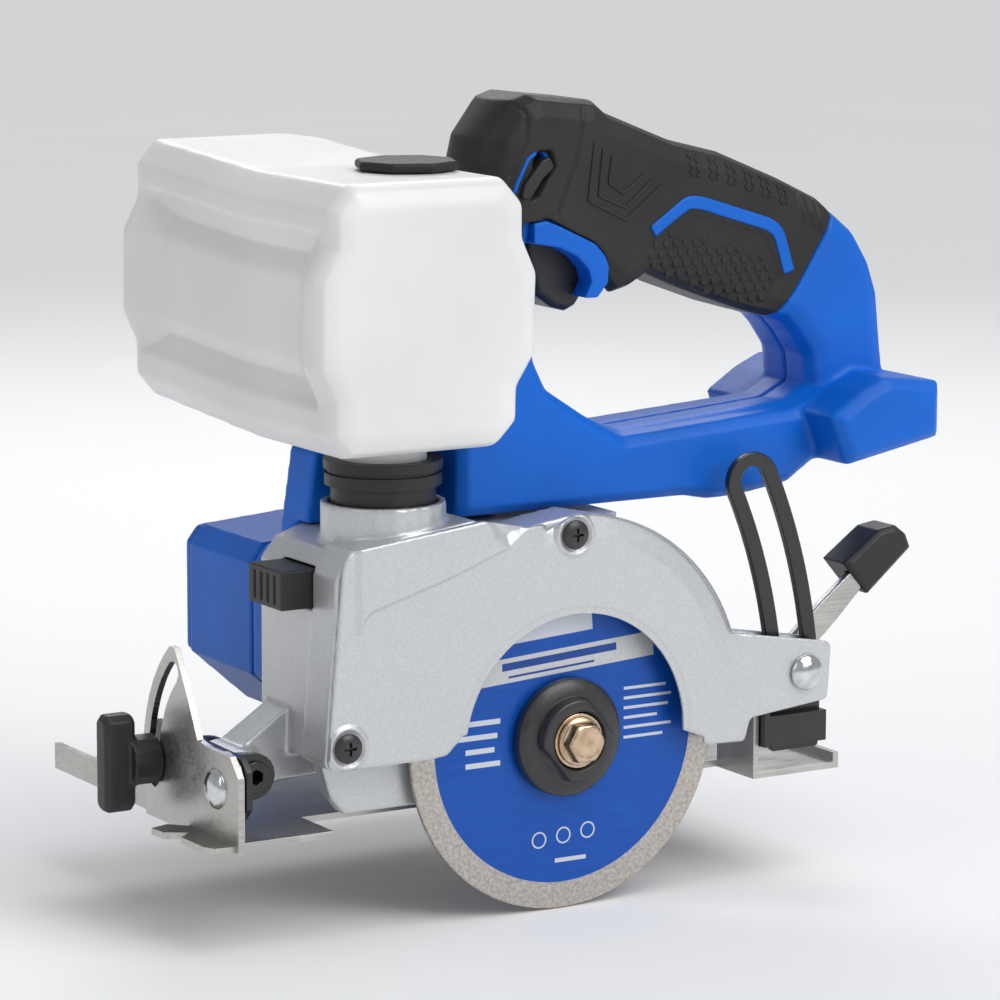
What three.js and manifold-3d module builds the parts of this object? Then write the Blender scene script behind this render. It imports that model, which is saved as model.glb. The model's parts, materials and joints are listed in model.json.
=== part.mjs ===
// Cordless hand-held wet tile saw with a 105 mm diamond blade, in millimetres, +Z up.
// Drawn in the saw's own frame: X runs to the rear, Y from the blade side to the motor side, and Z up.
// X = 0 is the blade's axis, Y = 0 the blade's outer face and Z = 0 the underside of the base. The whole
// saw is then moved sideways, so that the part's origin is on the middle line of the base.
import * as THREE from "three";
import { mergeVertices } from "three/addons/utils/BufferGeometryUtils.js";
import Module from "manifold-3d";

const wasm = await Module();
wasm.setup();

// ---------------------------------------------------------------- driving dimensions
const GAP = 0.3; // between pieces that meet
const SHEET = 2; // pressed steel sheet

// base
const BASE_FRONT_X = -110.2;
const BASE_REAR_X = 98.4;
const BASE_NEAR_Y = -2;
const BASE_WIDTH = 121.6;
const CUTOUT_FRONT_X = -79.3;
const CUTOUT_REAR_X = 66.7;
const CUTOUT_DEPTH_Y = 20;
const FRONT_STRIP_HEIGHT = 8;
const REAR_LIP_HEIGHT = 5;

// bevel
const BEVEL_Y = 7.5;
const BEVEL_Z = 16.5;
const RIVET_R = 2.85;
const RIVET_HEAD_R = 6;
const BEVEL_SLOT_R = 39.5;
const STUD_REST_DEG = 2;
const BEVEL_RANGE_DEG = 45;
const STUD_R = 2.9;
const KNOB_REACH = 14.5;

// depth of cut
const PIVOT_X = -97;
const PIVOT_Z = 17;
const PIVOT_BOSS_R = 6.8;
const PIVOT_PIN_R = 3.6;
const PIVOT_TUBE_Y = 17.5;
const PIVOT_TUBE_WIDTH = 20.7;
const DEPTH_SWING_DEG = 19.6;
const CLAMP_X = 81.9;
const CLAMP_Z = 32.8;
const CLAMP_BOLT_R = 3.4;
const ARC_WIDTH = 18.4;
const ARC_SHEET = 2.6;
const LEVER_LENGTH = 47;
const LEVER_REST_DEG = 41;

// blade and its clamp
const AXLE_Z = 20.8;
const BLADE_R = 52.5;
const BLADE_THICKNESS = 1.8;
const BLADE_BORE_R = 10;
const FLANGE_R = 17.8;
const OUTER_FLANGE_THICKNESS = 4.4;
const INNER_FLANGE_THICKNESS = 4.9;
const FLANGE_BOSS_HEIGHT = 4.3;
const SPINDLE_R = 6;
const BLADE_BOLT_R = 3;

// gear train
const MODULE = 1;
const SPINDLE_TEETH = 28;
const IDLER_PINION_TEETH = 16;
const IDLER_TEETH = 28;
const MOTOR_TEETH = 12;
const IDLER_DIRECTION_DEG = 125;
const MOTOR_DIRECTION_DEG = 150;
const GEAR_WIDTH = 8;
const IDLER_SHAFT_R = 3.5;
const MOTOR_SHAFT_R = 3.4;

// guard and gear case
const GUARD_FACE_Y = -8;
const GUARD_SHEET = 2.5;
const GUARD_OPENING_R = 38;
const GUARD_CHAMBER_R = 57.5;
const GUARD_BACK_Y = 4.5;
const CASE_FAR_Y = 41;
const GEARBOX_COVER_THICKNESS = 6.7;
const SOCKET_X = -53.8;
const SOCKET_Y = 14;
const SOCKET_R = 18.5;
const SOCKET_BORE_R = 16.2;
const SOCKET_TOP_Z = 94.5;
const SOCKET_FLOOR_Z = 80;

// handle body
const HANDLE_Y = 30;
const GRIP_HALF_WIDTH = 16.5;
const BODY_HALF_WIDTH = 20;
const FOOT_HALF_WIDTH = 37;
const OVERMOULD = 2.4;
const TRIGGER_HALF_WIDTH = 8.5;
const TRIGGER_WELL_HALF_WIDTH = 9.2;
const LOCK_BOLT_R = 4.4;

// motor
const MOTOR_SEAM_Y = 61.7;
const MOTOR_END_Y = 102;
const MOTOR_CAP_THICKNESS = 6;
const STATOR_R = 24.5;
const STATOR_BORE_R = 17.2;
const ROTOR_R = 16.5;

// tank
const TANK_NEAR_Y = -24;
const TANK_LENGTH_Y = 129;
const TANK_WALL = 2.6;
const TANK_RISE_DEG = 3.6;
const TANK_NECK_R = 13;
const COLLAR_R = 15.5;
const FILL_X = -47;
const FILL_Y = 12;
const FILL_R = 12;
const FILL_CAP_R = 15.5;
const TANK_TOP_Z = 190.2;

const BASE_MIDDLE_Y = BASE_NEAR_Y + BASE_WIDTH / 2;
const BASE_FAR_Y = BASE_NEAR_Y + BASE_WIDTH;
const CUTOUT_EDGE_Y = BASE_NEAR_Y + CUTOUT_DEPTH_Y;

// ---------------------------------------------------------------- shapes and solids
const radians = THREE.MathUtils.degToRad;

function solid(geometry) {
  geometry.deleteAttribute("normal");
  geometry.deleteAttribute("uv");
  const merged = mergeVertices(geometry, 1e-4);
  return new wasm.Manifold(
    new wasm.Mesh({
      numProp: 3,
      vertProperties: merged.attributes.position.array,
      triVerts: new Uint32Array(merged.index.array),
    }),
  );
}

function outline(points, holes = []) {
  const shape = new THREE.Shape(points.map(([u, v]) => new THREE.Vector2(u, v)));
  for (const hole of holes) {
    shape.holes.push(new THREE.Path(hole.map(([u, v]) => new THREE.Vector2(u, v))));
  }
  return shape;
}

// Extrudes from 0 to depth, with an edge rounded or chamfered inside the outline.
function prism(points, depth, { holes = [], bevel = 0, steps = 1 } = {}) {
  return new THREE.ExtrudeGeometry(outline(points, holes), {
    depth: depth - 2 * bevel,
    bevelEnabled: bevel > 0,
    bevelThickness: bevel,
    bevelSize: bevel,
    bevelOffset: -bevel,
    bevelSegments: steps,
  }).translate(0, 0, bevel);
}

// An outline of (x, z) points between two y values.
function acrossY(points, y0, y1, options) {
  const geometry = prism(points, y1 - y0, options).rotateX(Math.PI / 2);
  return solid(geometry.translate(0, y1, 0));
}

// An outline of (y, z) points between two x values.
const YZ_TO_X = new THREE.Matrix4().set(0, 0, 1, 0, 1, 0, 0, 0, 0, 1, 0, 0, 0, 0, 0, 1);
function alongX(points, x0, x1, options) {
  const geometry = prism(points, x1 - x0, options).applyMatrix4(YZ_TO_X);
  return solid(geometry.translate(x0, 0, 0));
}

// An outline of (x, y) points between two z values.
function upZ(points, z0, z1, options) {
  return solid(prism(points, z1 - z0, options).translate(0, 0, z0));
}

function box(x0, x1, y0, y1, z0, z1) {
  const geometry = new THREE.BoxGeometry(x1 - x0, y1 - y0, z1 - z0);
  return solid(geometry.translate((x0 + x1) / 2, (y0 + y1) / 2, (z0 + z1) / 2));
}

// Sides of a round piece: more for a larger one.
function sidesFor(r) {
  return 4 * Math.ceil(1.6 + r / 6);
}

function roundY(x, z, r, y0, y1, sides = sidesFor(r)) {
  const geometry = new THREE.CylinderGeometry(r, r, y1 - y0, sides);
  return solid(geometry.translate(x, (y0 + y1) / 2, z));
}

function roundX(y, z, r, x0, x1, sides = sidesFor(r)) {
  const geometry = new THREE.CylinderGeometry(r, r, x1 - x0, sides).rotateZ(Math.PI / 2);
  return solid(geometry.translate((x0 + x1) / 2, y, z));
}

function roundZ(x, y, r, z0, z1, sides = sidesFor(r)) {
  const geometry = new THREE.CylinderGeometry(r, r, z1 - z0, sides).rotateX(Math.PI / 2);
  return solid(geometry.translate(x, y, (z0 + z1) / 2));
}

function ringY(x, z, inner, outer, y0, y1) {
  return roundY(x, z, outer, y0, y1).subtract(roundY(x, z, inner, y0 - 1, y1 + 1));
}

function ringZ(x, y, inner, outer, z0, z1) {
  return roundZ(x, y, outer, z0, z1).subtract(roundZ(x, y, inner, z0 - 1, z1 + 1));
}

// A domed head along X or Y: base at 0, crown at height (which may be negative).
function domeProfile(r, height) {
  const points = [new THREE.Vector2(0, 0), new THREE.Vector2(r, 0)];
  const rings = 3;
  for (let i = 1; i < rings; i++) {
    const angle = (i / rings) * (Math.PI / 2);
    points.push(new THREE.Vector2(r * Math.cos(angle), height * Math.sin(angle)));
  }
  points.push(new THREE.Vector2(0, height));
  return points;
}

function domeY(x, z, r, y, height) {
  const geometry = new THREE.LatheGeometry(domeProfile(r, height), sidesFor(r));
  geometry.rotateX(Math.PI);
  return solid(geometry.translate(x, y, z));
}

function domeX(y, z, r, x, height) {
  const geometry = new THREE.LatheGeometry(domeProfile(r, height), sidesFor(r));
  geometry.rotateZ(Math.PI / 2);
  return solid(geometry.translate(x, y, z));
}

function join(...solids) {
  return solids.reduce((all, one) => all.add(one));
}

function arc(cu, cv, r, fromDeg, toDeg, steps = 10) {
  return Array.from({ length: steps + 1 }, (_, i) => {
    const angle = radians(fromDeg + ((toDeg - fromDeg) * i) / steps);
    return [cu + r * Math.cos(angle), cv + r * Math.sin(angle)];
  });
}

function circle(cu, cv, r, steps = sidesFor(r)) {
  return arc(cu, cv, r, 0, 360, steps).slice(0, -1);
}

// A curved band about a centre, with round ends: the outline of a slot or a slotted arc.
function band(cu, cv, r, halfWidth, fromDeg, toDeg, steps = 10) {
  const end = ([u, v], startDeg) => arc(u, v, halfWidth, startDeg, startDeg + 180, 4).slice(1, -1);
  const [first] = arc(cu, cv, r, fromDeg, fromDeg, 1);
  const [last] = arc(cu, cv, r, toDeg, toDeg, 1);
  return [
    ...arc(cu, cv, r + halfWidth, fromDeg, toDeg, steps),
    ...end(last, toDeg),
    ...arc(cu, cv, r - halfWidth, toDeg, fromDeg, steps),
    ...end(first, fromDeg + 180),
  ];
}

// Moves each side of an outline inwards by a distance (outwards when it is negative).
function inset(points, distance) {
  const turns = Math.sign(THREE.ShapeUtils.area(points.map(([x, y]) => ({ x, y }))));
  const corners = points.map((point) => new THREE.Vector2(...point));
  return corners.map((corner, i) => {
    const before = corners[(i + corners.length - 1) % corners.length];
    const after = corners[(i + 1) % corners.length];
    const normals = [
      [before, corner],
      [corner, after],
    ].map(([a, b]) => {
      const side = b.clone().sub(a).normalize();
      return new THREE.Vector2(-side.y, side.x).multiplyScalar(turns);
    });
    const bisector = normals[0].clone().add(normals[1]);
    const scale = (2 * distance) / Math.max(bisector.lengthSq(), 0.5);
    return [corner.x + bisector.x * scale, corner.y + bisector.y * scale];
  });
}

function polar(u, v, r, deg) {
  return [u + r * Math.cos(radians(deg)), v + r * Math.sin(radians(deg))];
}

// ---------------------------------------------------------------- finishes and the scene graph
function finish(color, roughness, metalness = 0) {
  return { color, roughness, metalness };
}

const STEEL = finish(0x9c9a96, 0.35, 1);
const POLISHED = finish(0xc6c8cc, 0.15, 1);
const BLACK_STEEL = finish(0x1b1b1c, 0.45, 0.6);
const BLACKENED = finish(0x303133, 0.5, 0.7);
const SILVER_CAST = finish(0xbcbdbf, 0.45, 0.7);
const BARE_CAST = finish(0x8e9093, 0.6, 0.8);
const BLUE = finish(0x0b62dd, 0.4);
const BLACK_RUBBER = finish(0x343130, 0.8);
const BLACK_PLASTIC = finish(0x1d1d1f, 0.5);
const TANK_WHITE = finish(0xeeeeee, 0.5);
const BLADE_BLUE = finish(0x0a4fae, 0.35, 0.3);
const YELLOW_ZINC = finish(0xd8b071, 0.25, 1);
const COPPER = finish(0xb06a3a, 0.4, 1);
const BOARD_GREEN = finish(0x1f5a35, 0.6);
const BRASS = finish(0xc9a24b, 0.3, 1);

const part = new THREE.Group();
const saw = new THREE.Group();
saw.position.y = -BASE_MIDDLE_Y;
part.add(saw);

function add(name, shape, look) {
  const data = shape.getMesh();
  const geometry = new THREE.BufferGeometry();
  const positions = new Float32Array(data.numVert * 3);
  for (let i = 0; i < data.numVert; i++) {
    const start = i * data.numProp;
    positions.set(data.vertProperties.subarray(start, start + 3), i * 3);
  }
  geometry.setAttribute("position", new THREE.BufferAttribute(positions, 3));
  geometry.setIndex(new THREE.BufferAttribute(data.triVerts, 1));
  const mesh = new THREE.Mesh(geometry, new THREE.MeshStandardMaterial(look));
  mesh.name = name;
  saw.add(mesh);
}

// ---------------------------------------------------------------- base: what stands on the work
const QUADRANT_X = BASE_FRONT_X - GAP - SHEET;
const RIVET_HOLE_R = RIVET_R + GAP;
const EAR_RISE = 10.5; // from the bevel axis to the top of each ear

function basePlate() {
  const plate = upZ(
    [
      [BASE_FRONT_X, BASE_NEAR_Y],
      [CUTOUT_FRONT_X, BASE_NEAR_Y],
      [CUTOUT_FRONT_X, CUTOUT_EDGE_Y],
      [CUTOUT_REAR_X, CUTOUT_EDGE_Y],
      [CUTOUT_REAR_X, BASE_NEAR_Y],
      [BASE_REAR_X, BASE_NEAR_Y],
      [BASE_REAR_X, BASE_FAR_Y],
      [BASE_FRONT_X, BASE_FAR_Y],
    ],
    0,
    SHEET,
  );
  const strip = box(BASE_FRONT_X, BASE_FRONT_X + SHEET, 16, BASE_FAR_Y, 0, FRONT_STRIP_HEIGHT);
  const lip = box(BASE_REAR_X - SHEET, BASE_REAR_X, BASE_NEAR_Y, BASE_FAR_Y, 0, REAR_LIP_HEIGHT);
  const ear = [
    [BASE_NEAR_Y, 0],
    [BEVEL_Y + EAR_RISE, 0],
    ...arc(BEVEL_Y, BEVEL_Z, EAR_RISE, 0, 180, 8).map(([y, z]) => [Math.max(y, BASE_NEAR_Y), z]),
  ];
  const ears = [BASE_FRONT_X, CUTOUT_REAR_X].map((x) => alongX(ear, x, x + SHEET));
  const holes = [BASE_FRONT_X, CUTOUT_REAR_X].map((x) =>
    roundX(BEVEL_Y, BEVEL_Z, RIVET_HOLE_R, x - 1, x + SHEET + 1),
  );
  return join(plate, strip, lip, ...ears).subtract(join(...holes));
}

function bevelQuadrant() {
  const face = [
    [-6, 0],
    [52.4, 0],
    ...arc(BEVEL_Y, BEVEL_Z, BEVEL_SLOT_R + 7, -14, 52),
    [33, 53],
    [29, 46.5],
    [24, 38],
    [19, 28.5],
    [12, 27.5],
    [-1, 27.5],
    [-6, 22],
  ];
  const slotEnd = STUD_REST_DEG + BEVEL_RANGE_DEG + 1;
  const slot = band(BEVEL_Y, BEVEL_Z, BEVEL_SLOT_R, STUD_R + 0.4, STUD_REST_DEG - 8, slotEnd);
  const plate = alongX(face, QUADRANT_X, QUADRANT_X + SHEET, { holes: [slot] });
  const sight = upZ(
    [
      [QUADRANT_X + 1, -4],
      [QUADRANT_X - 6, -3.5],
      [QUADRANT_X - 8, 0],
      [QUADRANT_X - 8, 14],
      [QUADRANT_X - 3.5, 17.5],
      [QUADRANT_X - 10, 21.5],
      [QUADRANT_X - 10.5, 28],
      [QUADRANT_X - 4.5, 30],
      [QUADRANT_X + 1, 24],
    ],
    0,
    SHEET,
  );
  const hole = roundX(BEVEL_Y, BEVEL_Z, RIVET_HOLE_R, QUADRANT_X - 1, QUADRANT_X + SHEET + 1);
  return join(plate, sight).subtract(hole);
}

const FRONT_BRACKET_X = BASE_FRONT_X + SHEET + GAP;
const REAR_BRACKET_X = CUTOUT_REAR_X + SHEET + GAP;

// A rivet along X through a stack of sheets, its dome in front and a flat tail behind.
function rivet(frontX, rearX, tailR) {
  return join(
    domeX(BEVEL_Y, BEVEL_Z, RIVET_HEAD_R, frontX - GAP, 2.4),
    roundX(BEVEL_Y, BEVEL_Z, RIVET_R, frontX - 1, rearX + 1),
    roundX(BEVEL_Y, BEVEL_Z, tailR, rearX + GAP, rearX + GAP + 1.6),
  );
}

add("base_plate", basePlate(), STEEL);
add("bevel_quadrant", bevelQuadrant(), STEEL);
add("front_pivot_rivet", rivet(QUADRANT_X, FRONT_BRACKET_X + SHEET, 4.8), POLISHED);
add("rear_pivot_rivet", rivet(CUTOUT_REAR_X, REAR_BRACKET_X + SHEET, 4.3), POLISHED);

// ---------------------------------------------------------------- tilting carrier
const EAR_WIDTH = 3.6;
const NEAR_EAR_Y = PIVOT_TUBE_Y - 0.5 - EAR_WIDTH;
const FAR_EAR_Y = PIVOT_TUBE_Y + PIVOT_TUBE_WIDTH + 0.5;
const [STUD_Y, STUD_Z] = polar(BEVEL_Y, BEVEL_Z, BEVEL_SLOT_R, STUD_REST_DEG);
const ARC_R = Math.hypot(CLAMP_X - PIVOT_X, CLAMP_Z - PIVOT_Z);
const CLAMP_DEG = THREE.MathUtils.radToDeg(Math.atan2(CLAMP_Z - PIVOT_Z, CLAMP_X - PIVOT_X));

function frontBracket() {
  const plate = alongX(
    [
      [-2.5, BEVEL_Z - 5],
      [1, BEVEL_Z - 8.5],
      [STUD_Y + 8, BEVEL_Z - 8.5],
      [STUD_Y + 8, BEVEL_Z + 11],
      [1, BEVEL_Z + 9.5],
      [-2.5, BEVEL_Z + 6],
    ],
    FRONT_BRACKET_X,
    FRONT_BRACKET_X + SHEET,
  );
  const ear = [
    [FRONT_BRACKET_X, BEVEL_Z - 7],
    [PIVOT_X, PIVOT_Z - PIVOT_BOSS_R],
    ...arc(PIVOT_X, PIVOT_Z, PIVOT_BOSS_R, -90, 90, 10),
    [FRONT_BRACKET_X, BEVEL_Z + 8],
  ];
  const ears = [NEAR_EAR_Y, FAR_EAR_Y].map((y) => acrossY(ear, y, y + EAR_WIDTH));
  const holes = join(
    roundY(PIVOT_X, PIVOT_Z, PIVOT_PIN_R + GAP, NEAR_EAR_Y - 1, FAR_EAR_Y + EAR_WIDTH + 1),
    roundX(BEVEL_Y, BEVEL_Z, RIVET_HOLE_R, FRONT_BRACKET_X - 1, FRONT_BRACKET_X + SHEET + 1),
    roundX(STUD_Y, STUD_Z, STUD_R + GAP, FRONT_BRACKET_X - 1, FRONT_BRACKET_X + SHEET + 1),
  );
  return join(plate, ...ears).subtract(holes);
}

function rearBracket() {
  const plate = alongX(
    [
      [-ARC_SHEET / 2 - GAP - 3, BEVEL_Z - 6.5],
      [BEVEL_Y + 9, BEVEL_Z - 7.5],
      [BEVEL_Y + 9, BEVEL_Z + 9],
      [-ARC_SHEET / 2 - GAP - 3, BEVEL_Z + 7],
    ],
    REAR_BRACKET_X,
    REAR_BRACKET_X + SHEET,
  );
  const armY = -ARC_SHEET / 2 - GAP;
  const armEndX = PIVOT_X + ARC_R + ARC_WIDTH / 2;
  const arm = box(REAR_BRACKET_X, armEndX, armY - 3, armY, BEVEL_Z - 6.5, BEVEL_Z + 3);
  const hole = roundX(BEVEL_Y, BEVEL_Z, RIVET_HOLE_R, REAR_BRACKET_X - 1, REAR_BRACKET_X + SHEET + 1);
  return join(plate, arm).subtract(hole);
}

function depthArc() {
  const loop = band(PIVOT_X, PIVOT_Z, ARC_R, ARC_WIDTH / 2, -2, CLAMP_DEG + DEPTH_SWING_DEG, 12);
  const foot = loop.map(([x, z]) => [x, Math.max(z, BEVEL_Z - 9)]);
  const slotHalf = CLAMP_BOLT_R + 0.6;
  const slotTop = CLAMP_DEG + DEPTH_SWING_DEG + 0.3;
  const slot = band(PIVOT_X, PIVOT_Z, ARC_R, slotHalf, CLAMP_DEG - 0.3, slotTop, 12);
  return acrossY(foot, -ARC_SHEET / 2, ARC_SHEET / 2, { holes: [slot] });
}

function pivotPin() {
  const near = NEAR_EAR_Y - GAP;
  const far = FAR_EAR_Y + EAR_WIDTH + 2;
  const socket = roundY(PIVOT_X, PIVOT_Z, 2.3, near - 3, near + 5, 6);
  return join(
    roundY(PIVOT_X, PIVOT_Z, PIVOT_PIN_R + 1.2, near - 1.2, near),
    roundY(PIVOT_X, PIVOT_Z, PIVOT_PIN_R, near - 0.5, far),
  ).subtract(socket);
}

const STUD_FRONT_X = QUADRANT_X - 14.5;
function bevelStud() {
  const head = FRONT_BRACKET_X + SHEET + GAP;
  return join(
    roundX(STUD_Y, STUD_Z, 4.2, head, head + 2.2),
    roundX(STUD_Y, STUD_Z, STUD_R, STUD_FRONT_X, head + 1),
  );
}

function bevelKnob() {
  const rear = QUADRANT_X - GAP;
  const grip = alongX(
    [
      [STUD_Y - 4, STUD_Z - KNOB_REACH + 2],
      [STUD_Y - 2, STUD_Z - KNOB_REACH],
      [STUD_Y + 2, STUD_Z - KNOB_REACH],
      [STUD_Y + 4, STUD_Z - KNOB_REACH + 2],
      [STUD_Y + 4, STUD_Z + KNOB_REACH - 2],
      [STUD_Y + 2, STUD_Z + KNOB_REACH],
      [STUD_Y - 2, STUD_Z + KNOB_REACH],
      [STUD_Y - 4, STUD_Z + KNOB_REACH - 2],
    ],
    rear - 17,
    rear - 7,
    { bevel: 1.4 },
  );
  const hub = roundX(STUD_Y, STUD_Z, 7.6, rear - 9, rear);
  return join(grip, hub).subtract(roundX(STUD_Y, STUD_Z, STUD_R + GAP, STUD_FRONT_X - GAP, rear + 1));
}

add("tilt_bracket_front", frontBracket(), BLACK_STEEL);
add("tilt_bracket_rear", rearBracket(), BLACK_STEEL);
add("depth_arc", depthArc(), BLACK_STEEL);
add("depth_pivot_pin", pivotPin(), BLACK_STEEL);
add("bevel_stud", bevelStud(), STEEL);
add("bevel_knob", bevelKnob(), BLACK_PLASTIC);

// ---------------------------------------------------------------- blade and gear train
const IDLER_DISTANCE = (MODULE * (SPINDLE_TEETH + IDLER_PINION_TEETH)) / 2;
const MOTOR_DISTANCE = (MODULE * (IDLER_TEETH + MOTOR_TEETH)) / 2;
const [IDLER_X, IDLER_Z] = polar(0, AXLE_Z, IDLER_DISTANCE, IDLER_DIRECTION_DEG);
const [MOTOR_X, MOTOR_Z] = polar(IDLER_X, IDLER_Z, MOTOR_DISTANCE, MOTOR_DIRECTION_DEG);
const INNER_FLANGE_Y = BLADE_THICKNESS + GAP;
const BEARING_WIDTH = 6;
const SPINDLE_BEARING_Y = INNER_FLANGE_Y + INNER_FLANGE_THICKNESS + 2.8;
const SPINDLE_BEARING_R = 12.7;
const MOTOR_PINION_Y = 18;
const SPINDLE_GEAR_Y = 28;
const SPINDLE_NOSE_Y = -3.7;
const REAR_BEARING_Y = CASE_FAR_Y + 2 * GAP;
const REAR_SPINDLE_R = 5;
const SHAFT_END_Y = CASE_FAR_Y + GEARBOX_COVER_THICKNESS - 1.6;

// A spur gear's outline: straight-flanked teeth, the first one at the given angle.
function gearOutline(x, z, teeth, firstDeg) {
  const pitchR = (MODULE * teeth) / 2;
  const pitchDeg = 360 / teeth;
  const tip = pitchR + 0.85 * MODULE;
  const root = pitchR - 1.15 * MODULE;
  return Array.from({ length: teeth }, (_, i) => {
    const middle = firstDeg + i * pitchDeg;
    return [
      polar(x, z, root, middle - 0.31 * pitchDeg),
      polar(x, z, tip, middle - 0.1 * pitchDeg),
      polar(x, z, tip, middle + 0.1 * pitchDeg),
      polar(x, z, root, middle + 0.31 * pitchDeg),
    ];
  }).flat();
}

function gear(x, z, teeth, firstDeg, y0, width, boreR) {
  return acrossY(gearOutline(x, z, teeth, firstDeg), y0, y0 + width, { holes: [circle(x, z, boreR)] });
}

function blade() {
  return ringY(0, AXLE_Z, BLADE_BORE_R, BLADE_R, 0, BLADE_THICKNESS);
}

function innerFlange() {
  const disc = roundY(0, AXLE_Z, FLANGE_R, INNER_FLANGE_Y, INNER_FLANGE_Y + INNER_FLANGE_THICKNESS);
  const pilot = roundY(0, AXLE_Z, BLADE_BORE_R - GAP, 0.1, INNER_FLANGE_Y + 1);
  const bore = roundY(0, AXLE_Z, SPINDLE_R + GAP, -1, INNER_FLANGE_Y + INNER_FLANGE_THICKNESS + 1);
  return join(disc, pilot).subtract(bore);
}

const FLANGE_FACE_Y = -GAP - OUTER_FLANGE_THICKNESS;
const WASHER_SEAT_Y = FLANGE_FACE_Y - FLANGE_BOSS_HEIGHT + 2;
function outerFlange() {
  const disc = acrossY(circle(0, AXLE_Z, FLANGE_R), FLANGE_FACE_Y, -GAP, { bevel: 1 });
  const boss = acrossY(
    circle(0, AXLE_Z, 12.6, 6).map(([x, z]) => [Math.max(-9.5, Math.min(9.5, x)), z]),
    FLANGE_FACE_Y - FLANGE_BOSS_HEIGHT,
    FLANGE_FACE_Y + 1,
  );
  const seat = roundY(0, AXLE_Z, 8.7, FLANGE_FACE_Y - FLANGE_BOSS_HEIGHT - 1, WASHER_SEAT_Y);
  const boltHole = roundY(0, AXLE_Z, BLADE_BOLT_R + GAP, WASHER_SEAT_Y - 1, 0);
  const noseHole = roundY(0, AXLE_Z, SPINDLE_R + GAP, SPINDLE_NOSE_Y - GAP, 0);
  return join(disc, boss).subtract(join(seat, boltHole, noseHole));
}

const WASHER_THICKNESS = 1.1;
const WASHER_FRONT_Y = WASHER_SEAT_Y - GAP - WASHER_THICKNESS;
function bladeBolt() {
  const head = roundY(0, AXLE_Z, 6.9, WASHER_FRONT_Y - GAP - 4.9, WASHER_FRONT_Y - GAP, 6);
  const shank = roundY(0, AXLE_Z, BLADE_BOLT_R, WASHER_FRONT_Y - GAP - 1, 10);
  return join(head, shank);
}

function spindle() {
  const front = roundY(0, AXLE_Z, SPINDLE_R, SPINDLE_NOSE_Y, SPINDLE_GEAR_Y + GEAR_WIDTH + 1);
  const rear = roundY(0, AXLE_Z, REAR_SPINDLE_R, SPINDLE_GEAR_Y + GEAR_WIDTH, SHAFT_END_Y);
  return join(front, rear).subtract(roundY(0, AXLE_Z, BLADE_BOLT_R + GAP, SPINDLE_NOSE_Y - 1, 12));
}

// Each follower has a tooth gap where its driver has a tooth, on the line between their centres.
const IDLER_PINION_DEG = IDLER_DIRECTION_DEG + 180 + 180 / IDLER_PINION_TEETH;
const IDLER_GEAR_DEG = MOTOR_DIRECTION_DEG;
const MOTOR_PINION_DEG = MOTOR_DIRECTION_DEG + 180 + 180 / MOTOR_TEETH;

function motorShaft() {
  const end = MOTOR_END_Y - 8;
  const pinionOutline = gearOutline(MOTOR_X, MOTOR_Z, MOTOR_TEETH, MOTOR_PINION_DEG);
  return join(
    acrossY(pinionOutline, MOTOR_PINION_Y, MOTOR_PINION_Y + GEAR_WIDTH - 2),
    roundY(MOTOR_X, MOTOR_Z, MOTOR_SHAFT_R, MOTOR_PINION_Y + 1, end),
  );
}

add("blade", blade(), BLADE_BLUE);
add("inner_flange", innerFlange(), BLACKENED);
add("outer_flange", outerFlange(), BLACKENED);
add(
  "blade_washer",
  ringY(0, AXLE_Z, BLADE_BOLT_R + GAP, 8.3, WASHER_FRONT_Y, WASHER_SEAT_Y - GAP),
  YELLOW_ZINC,
);
add("blade_bolt", bladeBolt(), YELLOW_ZINC);
add("spindle", spindle(), STEEL);
add(
  "spindle_gear",
  gear(0, AXLE_Z, SPINDLE_TEETH, IDLER_DIRECTION_DEG, SPINDLE_GEAR_Y, GEAR_WIDTH, SPINDLE_R + GAP),
  STEEL,
);
add(
  "idler_shaft",
  roundY(IDLER_X, IDLER_Z, IDLER_SHAFT_R, MOTOR_PINION_Y - 4, SHAFT_END_Y),
  STEEL,
);
add(
  "idler_gear",
  gear(IDLER_X, IDLER_Z, IDLER_TEETH, IDLER_GEAR_DEG, MOTOR_PINION_Y, GEAR_WIDTH - 2, IDLER_SHAFT_R + GAP),
  STEEL,
);
add(
  "idler_pinion",
  gear(
    IDLER_X,
    IDLER_Z,
    IDLER_PINION_TEETH,
    IDLER_PINION_DEG,
    SPINDLE_GEAR_Y,
    GEAR_WIDTH,
    IDLER_SHAFT_R + GAP,
  ),
  STEEL,
);
add("motor_shaft", motorShaft(), STEEL);
add(
  "spindle_bearing_outer",
  ringY(
    0,
    AXLE_Z,
    SPINDLE_R + GAP,
    SPINDLE_BEARING_R,
    SPINDLE_BEARING_Y,
    SPINDLE_BEARING_Y + BEARING_WIDTH,
  ),
  POLISHED,
);
const REAR_BEARING_WIDTH = GEARBOX_COVER_THICKNESS - 2.2;
const REAR_BEARING_R = 10;
const MOTOR_BEARING_R = 8;
add(
  "spindle_bearing_inner",
  ringY(
    0,
    AXLE_Z,
    REAR_SPINDLE_R + GAP,
    REAR_BEARING_R,
    REAR_BEARING_Y,
    REAR_BEARING_Y + REAR_BEARING_WIDTH,
  ),
  POLISHED,
);
add(
  "motor_bearing_front",
  ringY(
    MOTOR_X,
    MOTOR_Z,
    MOTOR_SHAFT_R + GAP,
    MOTOR_BEARING_R,
    REAR_BEARING_Y,
    REAR_BEARING_Y + REAR_BEARING_WIDTH,
  ),
  POLISHED,
);

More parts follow.
